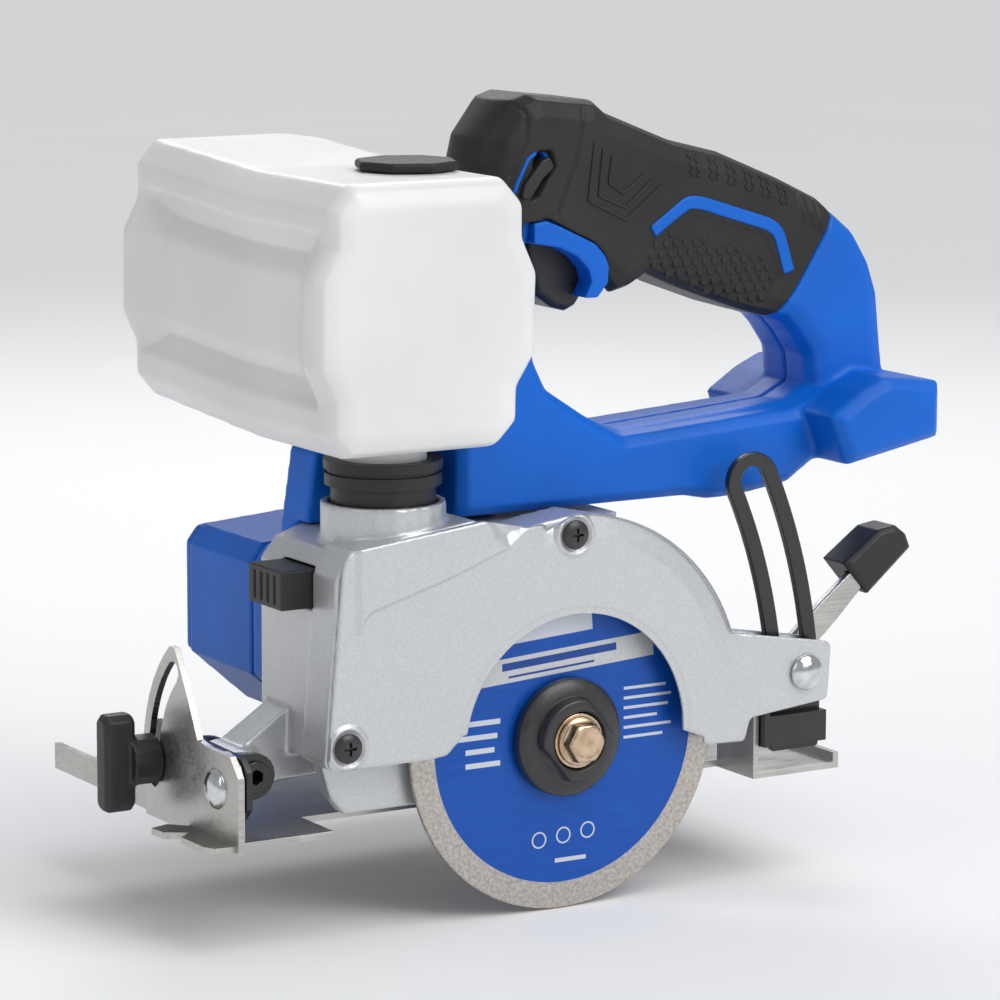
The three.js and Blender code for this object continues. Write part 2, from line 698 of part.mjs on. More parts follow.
// ---------------------------------------------------------------- gear case, guard and clamp
const GUARD_INNER_Y = GUARD_FACE_Y + GUARD_SHEET;
const BRACKET_TOP = [
  [54.8, 47.6],
  [91.5, 41.3],
];
const BRACKET_BOTTOM = [
  [90.3, 23.5],
  [62, 20.6],
];
const GUARD_TOP_Z = 89.4;
const GUARD_TOP = [
  [-84, 22],
  [-79.2, 77.4],
  [-75.2, 84.1],
  [-65.2, 85.4],
  [-34.2, GUARD_TOP_Z],
  [-22, 84],
  [-12, 86.5],
  [1.8, 88.4],
  [21.8, 83.9],
  [35.4, 75.7],
  [48.2, 63],
  [48.5, 58.7],
];
const HINGE_CLEAR_Z = 28.3; // above the base's ears, which the head swings over
const BRACKET_SHEET = 3.2;
const SCREW_SPOTS = [
  ["guard_screw_front", -77.5, 27.1],
  ["guard_screw_top", -1.1, 82.6],
];
const SCREW_R = 2.2;
const SCREW_HEAD_R = 4.2;

function bladeGuard() {
  const face = [
    ...GUARD_TOP,
    [54.8, 48.7],
    ...BRACKET_TOP,
    ...BRACKET_BOTTOM,
    [60.5, 13.2],
    [44.5, 14],
    ...arc(0, AXLE_Z, GUARD_OPENING_R, 0, 172, 22),
    [-44.1, 22.1],
    [-46, 20.5],
    [-82, 20.5],
  ];
  const recesses = SCREW_SPOTS.map(([, x, z]) =>
    join(
      roundY(x, z, SCREW_HEAD_R + GAP, GUARD_FACE_Y - 1, GUARD_FACE_Y + 1.5),
      roundY(x, z, SCREW_R + GAP, GUARD_FACE_Y, GUARD_INNER_Y + 1),
    ),
  );
  const boltHole = roundY(CLAMP_X, CLAMP_Z, CLAMP_BOLT_R + GAP, GUARD_FACE_Y - 1, GUARD_INNER_Y + 1);
  return acrossY(face, GUARD_FACE_Y, GUARD_INNER_Y).subtract(join(...recesses, boltHole));
}

// The gearbox's outline: round each shaft, with a web that carries the handle body above.
function gearboxOutline(grow) {
  return [
    [0, AXLE_Z, SPINDLE_TEETH / 2 + 3.7],
    [IDLER_X, IDLER_Z, IDLER_TEETH / 2 + 4.5],
    [MOTOR_X, MOTOR_Z, MOTOR_BEARING_R + 4.5],
  ].map(([x, z, r]) => [x, z, r + grow]);
}

function gearboxBody(y0, y1, grow = 0) {
  return join(...gearboxOutline(grow).map(([x, z, r]) => roundY(x, z, r, y0, y1)));
}

const CASE_TOP_Z = 85;
const BUTTON_Y0 = 9.5;
const BUTTON_Y1 = 29.5;
const BUTTON_Z0 = 65.5;
const BUTTON_Z1 = 77;
const BUTTON_FRONT_X = -90;
const BUTTON_TRAVEL = 4;
const BUTTON_REAR_X = -72;
const BUTTON_POCKET_X = -62;
const NOZZLE_X = -46;
const NOZZLE_Z = 50;
const NOZZLE_R = 2.4;

function gearCase() {
  const backWall = acrossY(
    [
      ...GUARD_TOP,
      [54.8, 48.7],
      [60.5, 20],
      [60.5, 14],
      [50, 8],
      [-40, 8],
      [-44, 4.5],
      [-72, 4.5],
      [-77, 10],
      [-80, 20.5],
    ],
    GUARD_BACK_Y,
    SPINDLE_BEARING_Y,
  );
  const rimY = GUARD_INNER_Y + GAP;
  const rimOutline = [...GUARD_TOP, [54.8, 48.7], [60.5, 14], [56, 20.5], [-82, 20.5]];
  const rim = acrossY(rimOutline, rimY, GUARD_BACK_Y + 1);
  const chamber = roundY(0, AXLE_Z, GUARD_CHAMBER_R, rimY - 1, GUARD_BACK_Y);
  const block = acrossY(
    [
      [-80, 27],
      [-80, 76],
      [-75, 82],
      [-66, CASE_TOP_Z],
      [-34, CASE_TOP_Z],
      [-34, 30],
      [-60, 27],
    ],
    rimY,
    CASE_FAR_Y,
  );
  const lowBlock = box(-80, -60, rimY, 32, 20.5, 36);
  const web = acrossY(
    [
      [-36, 36],
      [-20, 26],
      [0, 26],
      [14, 50],
      [24, CASE_TOP_Z],
      [-36, CASE_TOP_Z],
    ],
    SPINDLE_BEARING_Y - 1,
    CASE_FAR_Y,
  );
  const tubeEnd = PIVOT_TUBE_Y + PIVOT_TUBE_WIDTH;
  const arm = join(
    acrossY(
      [
        [PIVOT_X - 3, PIVOT_Z + 4],
        [PIVOT_X - 2, PIVOT_Z - PIVOT_BOSS_R + 1],
        [-62, 13],
        [-62, 34],
        [-80, 34],
      ],
      PIVOT_TUBE_Y + 6,
      tubeEnd - 1,
    ),
    roundY(PIVOT_X, PIVOT_Z, PIVOT_BOSS_R, PIVOT_TUBE_Y, tubeEnd),
  );
  const socket = roundZ(SOCKET_X, SOCKET_Y, SOCKET_R, SOCKET_FLOOR_Z - 2, SOCKET_TOP_Z);
  const bracket = acrossY(
    [
      [46, 46],
      ...BRACKET_TOP,
      [90.3, HINGE_CLEAR_Z - 4],
      [76, HINGE_CLEAR_Z - 4],
      [74, HINGE_CLEAR_Z],
      [46, HINGE_CLEAR_Z],
    ],
    ARC_SHEET / 2 + GAP,
    ARC_SHEET / 2 + GAP + BRACKET_SHEET,
  );
  const solidCase = join(
    backWall,
    rim.subtract(chamber),
    block.subtract(chamber),
    lowBlock,
    web,
    gearboxBody(SPINDLE_BEARING_Y - 1, CASE_FAR_Y),
    arm,
    socket,
    bracket.subtract(chamber),
  );
  const guardRoom = box(-120, 120, GUARD_FACE_Y - 10, rimY, 0, GUARD_TOP_Z + GAP);
  const arcWay = box(61, 100, rimY - 1, ARC_SHEET / 2 + GAP, 0, 90);
  const flangeEndY = INNER_FLANGE_Y + INNER_FLANGE_THICKNESS + 0.6;
  const flangeRecess = roundY(0, AXLE_Z, FLANGE_R + 1.2, GUARD_BACK_Y - 1, flangeEndY);
  const bores = join(
    roundY(0, AXLE_Z, SPINDLE_R + 1.5, 0, CASE_FAR_Y + 1),
    roundY(0, AXLE_Z, SPINDLE_BEARING_R + GAP, SPINDLE_BEARING_Y - GAP, SPINDLE_GEAR_Y),
    roundY(0, AXLE_Z, SPINDLE_TEETH / 2 + 2, SPINDLE_GEAR_Y - 1, CASE_FAR_Y + 1),
    roundY(IDLER_X, IDLER_Z, IDLER_TEETH / 2 + 2, MOTOR_PINION_Y - 1, CASE_FAR_Y + 1),
    roundY(MOTOR_X, MOTOR_Z, MOTOR_TEETH / 2 + 2, MOTOR_PINION_Y - 1, CASE_FAR_Y + 1),
    roundY(IDLER_X, IDLER_Z, IDLER_SHAFT_R + GAP, MOTOR_PINION_Y - 4 - GAP, CASE_FAR_Y + 1),
    roundY(PIVOT_X, PIVOT_Z, PIVOT_PIN_R + GAP, PIVOT_TUBE_Y - 1, tubeEnd + 1),
    roundY(CLAMP_X, CLAMP_Z, CLAMP_BOLT_R + GAP, 0, 10),
  );
  const waterway = join(
    roundZ(SOCKET_X, SOCKET_Y, SOCKET_BORE_R, SOCKET_FLOOR_Z, SOCKET_TOP_Z + 1),
    roundZ(NOZZLE_X, SOCKET_Y, NOZZLE_R, NOZZLE_Z - 1, SOCKET_FLOOR_Z + 1),
    roundY(NOZZLE_X, NOZZLE_Z, NOZZLE_R + GAP, 0, SOCKET_Y + NOZZLE_R),
  );
  const buttonPocket = box(
    -100,
    BUTTON_POCKET_X,
    BUTTON_Y0 - GAP,
    BUTTON_Y1 + GAP,
    BUTTON_Z0 - GAP,
    BUTTON_Z1 + GAP,
  );
  const screwHoles = SCREW_SPOTS.map(([, x, z]) => roundY(x, z, SCREW_R + GAP, rimY - 1, 6));
  const cuts = join(guardRoom, arcWay, flangeRecess, bores, waterway, buttonPocket, ...screwHoles);
  return solidCase.subtract(cuts);
}

function guardScrew(x, z) {
  const headY = GUARD_FACE_Y + 1.5 - GAP;
  const head = roundY(x, z, SCREW_HEAD_R, headY - 2.2, headY);
  const cross = join(
    box(x - 2.4, x + 2.4, headY - 3, headY - 1, z - 0.5, z + 0.5),
    box(x - 0.5, x + 0.5, headY - 3, headY - 1, z - 2.4, z + 2.4),
  );
  return join(head, roundY(x, z, SCREW_R, headY - 1, 5.5)).subtract(cross);
}

const LEVER_Y = ARC_SHEET / 2 + GAP + BRACKET_SHEET + GAP;
const LEVER_HUB_WIDTH = 4.4;
function clampBolt() {
  return join(
    domeY(CLAMP_X, CLAMP_Z, 5.6, GUARD_FACE_Y - GAP, 2.6),
    roundY(CLAMP_X, CLAMP_Z, CLAMP_BOLT_R, GUARD_FACE_Y - 1, LEVER_Y + LEVER_HUB_WIDTH + 1.4),
  );
}

const LEVER_TURN = new THREE.Vector2(Math.cos(radians(LEVER_REST_DEG)), Math.sin(radians(LEVER_REST_DEG)));
// A point in the clamp lever's own plane: so far along it from the bolt, and so far above its middle line.
function onLever(along, above) {
  return [
    CLAMP_X + along * LEVER_TURN.x - above * LEVER_TURN.y,
    CLAMP_Z + along * LEVER_TURN.y + above * LEVER_TURN.x,
  ];
}

const PAD_START = LEVER_LENGTH - 11;
function depthLever() {
  const hub = roundY(CLAMP_X, CLAMP_Z, 7.4, LEVER_Y, LEVER_Y + LEVER_HUB_WIDTH);
  const bladeEnd = PAD_START + 8;
  const blank = [onLever(0, -4.6), onLever(22, -4.2), onLever(bladeEnd, -3), onLever(bladeEnd, 3)];
  const strap = acrossY([...blank, onLever(22, 4.2), onLever(0, 4.6)], LEVER_Y, LEVER_Y + SHEET + 0.6);
  const bore = roundY(CLAMP_X, CLAMP_Z, CLAMP_BOLT_R + GAP, LEVER_Y - 1, LEVER_Y + LEVER_HUB_WIDTH + 1);
  return join(hub, strap).subtract(bore);
}

function leverPad() {
  const profile = [
    onLever(PAD_START, -6),
    onLever(LEVER_LENGTH + 10, -6.5),
    onLever(LEVER_LENGTH + 11.5, -2),
    onLever(LEVER_LENGTH + 10.5, 3),
    onLever(LEVER_LENGTH + 5, 6.5),
    onLever(PAD_START, 8),
  ];
  const strapHole = [
    onLever(PAD_START - 1, -4),
    onLever(PAD_START + 9, -3.6),
    onLever(PAD_START + 9, 3.6),
    onLever(PAD_START - 1, 4),
  ];
  const pad = acrossY(profile, LEVER_Y - 2, LEVER_Y + 12, { bevel: 1.5 });
  return pad.subtract(acrossY(strapHole, LEVER_Y - GAP, LEVER_Y + SHEET + 0.6 + GAP));
}

function gearboxCover() {
  const y0 = CASE_FAR_Y + GAP;
  const y1 = CASE_FAR_Y + GEARBOX_COVER_THICKNESS;
  const bearingEnd = REAR_BEARING_Y + REAR_BEARING_WIDTH + GAP;
  const cuts = join(
    roundY(0, AXLE_Z, REAR_BEARING_R + GAP, y0 - 1, bearingEnd),
    roundY(MOTOR_X, MOTOR_Z, MOTOR_BEARING_R + GAP, y0 - 1, bearingEnd),
    roundY(MOTOR_X, MOTOR_Z, MOTOR_SHAFT_R + GAP, y0 - 1, y1 + 1),
    roundY(IDLER_X, IDLER_Z, IDLER_SHAFT_R + GAP, y0 - 1, SHAFT_END_Y + GAP),
    roundY(0, AXLE_Z, REAR_SPINDLE_R + GAP, y0 - 1, SHAFT_END_Y + GAP),
  );
  return gearboxBody(y0, y1).subtract(cuts);
}

function releaseButton() {
  const stop = BUTTON_POCKET_X - BUTTON_TRAVEL - 3;
  const body = box(BUTTON_FRONT_X, stop, BUTTON_Y0, BUTTON_Y1, BUTTON_Z0, BUTTON_Z1);
  const springWell = roundX(
    (BUTTON_Y0 + BUTTON_Y1) / 2,
    (BUTTON_Z0 + BUTTON_Z1) / 2,
    3.4,
    BUTTON_REAR_X,
    BUTTON_POCKET_X,
  );
  const ribs = [13.5, 17.5, 21.5, 25.5].map((y) =>
    box(BUTTON_FRONT_X - 1, BUTTON_FRONT_X + 1.2, y - 0.7, y + 0.7, BUTTON_Z0 + 1.5, BUTTON_Z1 - 1.5),
  );
  return body.subtract(join(springWell, ...ribs));
}

// A coil spring along X or Z: a wire swept round a helix.
class Helix extends THREE.Curve {
  constructor(radius, length, turns) {
    super();
    Object.assign(this, { radius, length, turns });
  }
  getPoint(t) {
    const angle = t * this.turns * 2 * Math.PI;
    return new THREE.Vector3(this.radius * Math.cos(angle), this.radius * Math.sin(angle), t * this.length);
  }
}

function spring(radius, length, turns, wireR) {
  const path = new Helix(radius, length, turns);
  const shape = outline(circle(0, 0, wireR, 5));
  return new THREE.ExtrudeGeometry(shape, { steps: turns * 8, extrudePath: path, bevelEnabled: false });
}

add("gear_case", gearCase(), SILVER_CAST);
add("blade_guard", bladeGuard(), SILVER_CAST);
for (const [name, x, z] of SCREW_SPOTS) {
  add(name, guardScrew(x, z), BLACK_STEEL);
}
add("gearbox_cover", gearboxCover(), BARE_CAST);
add("depth_clamp_bolt", clampBolt(), POLISHED);
add("depth_lever", depthLever(), STEEL);
add("lever_pad", leverPad(), BLACK_PLASTIC);
add("tank_release_button", releaseButton(), BLACK_PLASTIC);
add(
  "button_spring",
  solid(
    spring(2.4, BUTTON_POCKET_X - BUTTON_REAR_X - 2.4, 4, 0.45)
      .rotateY(Math.PI / 2)
      .translate(BUTTON_REAR_X + 1.2, (BUTTON_Y0 + BUTTON_Y1) / 2, (BUTTON_Z0 + BUTTON_Z1) / 2),
  ),
  STEEL,
);
add(
  "water_nozzle",
  ringY(NOZZLE_X, NOZZLE_Z, 1.3, NOZZLE_R, GUARD_BACK_Y - 1.5, SOCKET_Y - NOZZLE_R - 1),
  BRASS,
);

// ---------------------------------------------------------------- handle body
const SIDE_PROFILE = [
  [-30, 87],
  [-30, 108],
  [-33, 112],
  [-33, 150],
  [-26, 165],
  [-19.5, 176],
  [-20.4, 190],
  [-18.5, 197.5],
  [-9.4, 208.2],
  [-3.1, 210],
  [19.9, 207.5],
  [24.8, 203.5],
  [47.5, 194.5],
  [65, 190.2],
  [87, 181.2],
  [101.5, 174.4],
  [114.5, 164],
  [120.5, 154.5],
  [124, 144.5],
  [125.5, 130],
  [127, 118],
  [126, 101],
  [98, 94.5],
  [88, 88],
  [74, 86],
  [60, 85],
  [50, 87],
];
const LOOP_HOLE = [
  [-3, 164],
  [-3.5, 132],
  [1, 123],
  [14, 114.5],
  [30, 108],
  [90, 112.5],
  [99, 117],
  [98, 126],
  [92.8, 133.5],
  [89, 137.4],
  [71, 142.5],
  [52.3, 149.2],
  [39.5, 154.6],
  [33, 151],
  [27, 149.5],
  [22, 155],
  [0, 168],
];
const GRIP_REGION = [
  [-40, 160],
  [-8, 158],
  [2, 162],
  [24, 148],
  [40, 130],
  [77, 130],
  [92, 149],
  [106, 171],
  [112, 190],
  [60, 230],
  [-60, 230],
];

// Everything between two distances from the middle plane, on the near side (-1) or the far side (+1).
function half(side, inner, outer) {
  const [y0, y1] = side < 0 ? [HANDLE_Y - outer, HANDLE_Y - inner] : [HANDLE_Y + inner, HANDLE_Y + outer];
  return box(-200, 200, y0, y1, -10, 260);
}

function bodyProfile(halfWidth, bevel, thinner = 0) {
  const points = inset(SIDE_PROFILE, thinner);
  const hole = inset(LOOP_HOLE, -thinner);
  const y0 = HANDLE_Y - halfWidth;
  const y1 = HANDLE_Y + halfWidth;
  return acrossY(points, y0, y1, { holes: [hole], bevel, steps: 2 });
}

const GRIP = bodyProfile(GRIP_HALF_WIDTH, 6);
const GRIP_CORE = bodyProfile(GRIP_HALF_WIDTH - OVERMOULD, 4, OVERMOULD);
const GRIP_CORE_SPACE = bodyProfile(GRIP_HALF_WIDTH - OVERMOULD + GAP, 4, OVERMOULD - GAP);
const GRIP_ZONE = acrossY(GRIP_REGION, HANDLE_Y - 30, HANDLE_Y + 30);
const GRIP_ZONE_LARGER = acrossY(inset(GRIP_REGION, -GAP), HANDLE_Y - 30, HANDLE_Y + 30);

const BUTTRESS = [
  [-30, 87],
  [-30, 108],
  [-33, 112],
  [-33, 148],
  [-3.5, 148],
  [-3.5, 132],
  [1, 123],
  [14, 114.5],
  [28, 107],
  [90, 111],
  [101, 116],
  [112, 121],
  [112, 96],
  [98, 94.5],
  [88, 88],
  [74, 86],
  [60, 85],
  [50, 87],
];
const FOOT = [
  [92, 110],
  [98, 94.5],
  [132.5, 101],
  [132.5, 118.5],
  [112, 121],
  [103, 117],
];
const BATTERY_SLOT_X = 101;
const BATTERY_SLOT_HALF_WIDTH = 27;
const BATTERY_SLOT_TOP_Z = 103.5;
const TRIGGER_PIVOT = [5, 173];
const SWITCH = { x0: 6, x1: 34, halfWidth: 7.5, z0: 181, z1: 194 };
const ARM_CAVITY = { x0: -20, x1: 93, halfWidth: 16, z0: 90.5, z1: 102 };
const LOCK_BOLT_X = -3;
const LOCK_BOLT_Z = 189;

function triggerWell(halfWidth) {
  const well = [
    [-4.2, 140],
    [-4.2, 178.5],
    [30, 178.5],
    [33, 166],
    [33, 140],
  ];
  return acrossY(well, HANDLE_Y - halfWidth, HANDLE_Y + halfWidth);
}

function insideCavities() {
  const { x0, x1, halfWidth, z0, z1 } = ARM_CAVITY;
  const arm = box(x0, x1, HANDLE_Y - halfWidth, HANDLE_Y + halfWidth, z0, z1);
  const switchBox = box(
    SWITCH.x0 - GAP,
    SWITCH.x1 + GAP,
    HANDLE_Y - SWITCH.halfWidth - GAP,
    HANDLE_Y + SWITCH.halfWidth + GAP,
    SWITCH.z0 - GAP,
    SWITCH.z1 + GAP,
  );
  const slotY0 = HANDLE_Y - BATTERY_SLOT_HALF_WIDTH;
  const slotY1 = HANDLE_Y + BATTERY_SLOT_HALF_WIDTH;
  const slot = box(BATTERY_SLOT_X, 140, slotY0, slotY1, 80, BATTERY_SLOT_TOP_Z);
  const terminals = box(99.7, BATTERY_SLOT_X + 1, HANDLE_Y - 14, HANDLE_Y + 14, 96, 108);
  const lockBore = roundY(LOCK_BOLT_X, LOCK_BOLT_Z, LOCK_BOLT_R + GAP, 0, 60);
  return join(arm, switchBox, slot, terminals, lockBore, triggerWell(TRIGGER_WELL_HALF_WIDTH));
}

const MOTOR_PROFILE = [
  [-72, 36],
  [-72, 70],
  [-67.6, 75.6],
  [-41, 77.6],
  [-8, 79.5],
  [2, 74],
  [3, 30],
  [-6, 19.5],
  [-53, 19.5],
];
const MOTOR_ROOM_R = STATOR_R + GAP;

function clamshell(side) {
  const blueLoop = GRIP.subtract(GRIP_ZONE_LARGER);
  const core = GRIP_CORE.intersect(acrossY(inset(GRIP_REGION, -2), HANDLE_Y - 30, HANDLE_Y + 30));
  const lower = acrossY(BUTTRESS, HANDLE_Y - BODY_HALF_WIDTH, HANDLE_Y + BODY_HALF_WIDTH, { bevel: 3 });
  const foot = acrossY(FOOT, HANDLE_Y - FOOT_HALF_WIDTH, HANDLE_Y + FOOT_HALF_WIDTH, { bevel: 3 });
  let body = join(blueLoop, core, lower, foot).subtract(insideCavities());
  body = body.intersect(half(side, GAP / 2, 60));
  if (side < 0) return body;
  const column = acrossY(
    [
      [-69, 80],
      [-65, 107],
      [-26, 107],
      [-26, 80],
    ],
    SOCKET_Y + SOCKET_R + 1.5,
    HANDLE_Y + BODY_HALF_WIDTH,
  );
  const collarY = CASE_FAR_Y + GAP;
  const collar = acrossY(MOTOR_PROFILE, collarY, MOTOR_SEAM_Y - GAP);
  const neck = box(-30, 0, collarY, HANDLE_Y + BODY_HALF_WIDTH, 70, 92);
  const room = join(
    roundY(MOTOR_X, MOTOR_Z, MOTOR_ROOM_R, CASE_FAR_Y + GEARBOX_COVER_THICKNESS, MOTOR_SEAM_Y + 1),
    gearboxBody(CASE_FAR_Y - 1, CASE_FAR_Y + GEARBOX_COVER_THICKNESS + GAP, GAP),
    pivotArmRoom(),
  );
  return join(body, column, collar, neck).subtract(join(room, caseRoom()));
}

// Clearance round the pivot arm and the case where the far half wraps them.
function pivotArmRoom() {
  const armEnd = PIVOT_TUBE_Y + PIVOT_TUBE_WIDTH + GAP;
  return box(-120, -58 + GAP, 0, armEnd, 0, 46 + GAP);
}

function caseRoom() {
  return box(-100, 24 + GAP, 0, CASE_FAR_Y + GAP, 0, CASE_TOP_Z + GAP);
}

function nearBody() {
  const socketRoom = roundZ(SOCKET_X, SOCKET_Y, SOCKET_R + 1.5, 60, 110);
  return clamshell(-1).subtract(socketRoom).subtract(box(-100, 70, 0, HANDLE_Y + 1, 60, CASE_TOP_Z + GAP));
}

function overmould() {
  const skin = GRIP.intersect(GRIP_ZONE).subtract(GRIP_CORE_SPACE);
  const lockRoom = roundY(LOCK_BOLT_X, LOCK_BOLT_Z, LOCK_BOLT_R + GAP, 0, 60);
  const room = surroundRoom(GRIP_HALF_WIDTH + 5);
  return skin.subtract(join(lockRoom, triggerWell(TRIGGER_WELL_HALF_WIDTH), room));
}

// The blue ring round the trigger, seen from the side as a slanting strip under the handle's nose.
const SURROUND_OUTER = [
  [-3.2, 172.3],
  [1.2, 172.9],
  [6, 171],
  [18.1, 165.3],
  [21.8, 161.3],
  [23, 158],
  [22.6, 153.4],
  [19, 149.2],
];
const SURROUND_INNER = [
  [14.5, 149.3],
  [16.9, 153.9],
  [15.8, 157.8],
  [11.8, 161.8],
  [5.6, 164.8],
  [-3.2, 166.3],
];
function surroundShape(halfWidth) {
  const strip = [...SURROUND_OUTER, ...SURROUND_INNER];
  return acrossY(strip, HANDLE_Y - halfWidth, HANDLE_Y + halfWidth);
}

// The ring and all that it leaves open below it.
function surroundRoom(halfWidth) {
  const below = [...SURROUND_OUTER, [10, 138], [-12, 150], [-12, 172.3]];
  return acrossY(inset(below, -GAP), HANDLE_Y - halfWidth, HANDLE_Y + halfWidth);
}

function triggerSurround() {
  const ring = surroundShape(GRIP_HALF_WIDTH + 0.8);
  const y0 = HANDLE_Y - TRIGGER_WELL_HALF_WIDTH;
  const opening = box(-1.6, 60, y0, HANDLE_Y + TRIGGER_WELL_HALF_WIDTH, 100, 200);
  return ring.subtract(join(opening, GRIP_CORE_SPACE));
}

function trigger() {
  const side = [
    [-1, 163],
    [-0.5, 171],
    [4, 176.5],
    [8.5, 176],
    [9, 169.5],
    [14, 168],
    [20, 160.5],
    [21.8, 155.5],
    [21, 151],
    [17.5, 146],
    [14, 144.4],
    [9.5, 145.6],
    [3, 150],
  ];
  const y0 = HANDLE_Y - TRIGGER_HALF_WIDTH;
  return acrossY(side, y0, HANDLE_Y + TRIGGER_HALF_WIDTH, { bevel: 2 }).subtract(
    roundY(...TRIGGER_PIVOT, 1.6 + GAP, 0, 60),
  );
}

function triggerPin() {
  const reach = TRIGGER_WELL_HALF_WIDTH - GAP;
  return roundY(...TRIGGER_PIVOT, 1.6, HANDLE_Y - reach, HANDLE_Y + reach);
}

add("housing_near", nearBody(), BLUE);
add("housing_far", clamshell(1), BLUE);
add("grip_overmould", overmould(), BLACK_RUBBER);
add("trigger_surround", triggerSurround(), BLUE);
add("trigger", trigger(), BLACK_PLASTIC);
add("trigger_pin", triggerPin(), STEEL);
add(
  "trigger_spring",
  solid(spring(2.2, 7.2, 3, 0.45).translate(12.4, HANDLE_Y, 170.4)),
  STEEL,
);
add(
  "lock_off_button",
  roundY(
    LOCK_BOLT_X,
    LOCK_BOLT_Z,
    LOCK_BOLT_R,
    HANDLE_Y - GRIP_HALF_WIDTH - 2.5,
    HANDLE_Y + GRIP_HALF_WIDTH - 0.5,
  ),
  BLACK_PLASTIC,
);
add(
  "switch_module",
  box(
    SWITCH.x0,
    SWITCH.x1,
    HANDLE_Y - SWITCH.halfWidth,
    HANDLE_Y + SWITCH.halfWidth,
    SWITCH.z0,
    SWITCH.z1,
  ),
  BLACK_PLASTIC,
);
add(
  "controller_board",
  box(
    ARM_CAVITY.x0 + 20,
    ARM_CAVITY.x1 - 4,
    HANDLE_Y - ARM_CAVITY.halfWidth + 1,
    HANDLE_Y + ARM_CAVITY.halfWidth - 1,
    ARM_CAVITY.z0 + GAP,
    ARM_CAVITY.z0 + 2,
  ),
  BOARD_GREEN,
);
add(
  "battery_terminals",
  box(100, 109, HANDLE_Y - 13, HANDLE_Y + 13, 97, BATTERY_SLOT_TOP_Z - GAP),
  BLACK_PLASTIC,
);

// ---------------------------------------------------------------- motor
function motorHousing() {
  const shell = acrossY(MOTOR_PROFILE, MOTOR_SEAM_Y, MOTOR_END_Y);
  const room = roundY(MOTOR_X, MOTOR_Z, MOTOR_ROOM_R, MOTOR_SEAM_Y - 1, MOTOR_END_Y - 8);
  const bearingSeat = roundY(MOTOR_X, MOTOR_Z, MOTOR_BEARING_R + GAP, MOTOR_END_Y - 10, MOTOR_END_Y + 1);
  const front = [
    [-69, 38],
    [-69, 69],
    [-60, 74],
    [-56, 48],
    [-58, 26],
  ];
  const corner = acrossY(front, MOTOR_SEAM_Y - 1, MOTOR_END_Y - 4);
  return shell.subtract(join(room, bearingSeat, corner));
}

function motorEndCap() {
  const y0 = MOTOR_END_Y + GAP;
  const y1 = y0 + MOTOR_CAP_THICKNESS;
  const plate = acrossY(inset(MOTOR_PROFILE, 1.2), y0, y1, { bevel: 2, steps: 2 });
  const vents = [-18, -9, 0, 9, 18].map((dz) =>
    box(MOTOR_X - 15, MOTOR_X + 15, y0 - 1, y1 + 1, MOTOR_Z + dz - 1.8, MOTOR_Z + dz + 1.8),
  );
  return plate.subtract(join(...vents));
}

function coolingFan() {
  const y0 = CASE_FAR_Y + GEARBOX_COVER_THICKNESS + 2;
  const y1 = y0 + 8;
  const hub = roundY(MOTOR_X, MOTOR_Z, 8, y0, y1);
  const disc = roundY(MOTOR_X, MOTOR_Z, 21.5, y0, y0 + 1.5);
  const blades = Array.from({ length: 9 }, (_, i) => {
    const corners = [
      [6, 0],
      [20.5, 14],
      [20.5, 19],
      [6, 8],
    ].map(([r, deg]) => polar(MOTOR_X, MOTOR_Z, r, deg + i * 40));
    return acrossY(corners, y0 + 1, y1 - 1);
  });
  return join(hub, disc, ...blades).subtract(roundY(MOTOR_X, MOTOR_Z, MOTOR_SHAFT_R + GAP, y0 - 1, y1 + 1));
}

const STATOR_Y = MOTOR_SEAM_Y + 1;
const STATOR_WIDTH = 26;
add("motor_housing", motorHousing(), BLUE);
add("motor_end_cap", motorEndCap(), BLUE);
add(
  "stator",
  ringY(MOTOR_X, MOTOR_Z, STATOR_BORE_R, STATOR_R, STATOR_Y, STATOR_Y + STATOR_WIDTH),
  COPPER,
);
add(
  "motor_rotor",
  ringY(MOTOR_X, MOTOR_Z, MOTOR_SHAFT_R + GAP, ROTOR_R, STATOR_Y + 1, STATOR_Y + STATOR_WIDTH - 1),
  BLACKENED,
);
add("cooling_fan", coolingFan(), BLACK_PLASTIC);
add(
  "motor_bearing_rear",
  ringY(MOTOR_X, MOTOR_Z, MOTOR_SHAFT_R + GAP, MOTOR_BEARING_R, MOTOR_END_Y - 7.5, MOTOR_END_Y - 1),
  POLISHED,
);

// ---------------------------------------------------------------- water tank
const TANK_PROFILE = [
  [-85, 113],
  [-90.5, 119.5],
  [-90.5, 129],
  [-95, 138.5],
  [-94.6, 163],
  [-89.6, 173],
  [-89.6, 183],
  [-83.5, TANK_TOP_Z],
  [-33.5, TANK_TOP_Z],
  [-27, 183],
  [-27, 173],
  [-22.3, 163],
  [-23.2, 138.5],
  [-28.8, 130],
  [-29, 120],
  [-36, 113],
];
const TANK_FAR_CORNER = [
  [-46, 106],
  [-15, 106],
  [-15, 66],
];
const COLLAR_TOP_Z = 107;
const TANK_NECK_END_Z = 96;
const POST_RECESS = { x: -36, halfWidth: BODY_HALF_WIDTH + 4, z: 177 };

// Beyond the neck the tank climbs away from the body, floor and roof alike.
function raisedBeyondNeck(straight) {
  const startY = SOCKET_Y + 20;
  const slope = Math.tan(radians(TANK_RISE_DEG));
  const [far, near] = straight.splitByPlane([0, 1, 0], startY);
  const raised = far.warp((v) => {
    v[2] += slope * (v[1] - startY);
  });
  return join(raised, near);
}

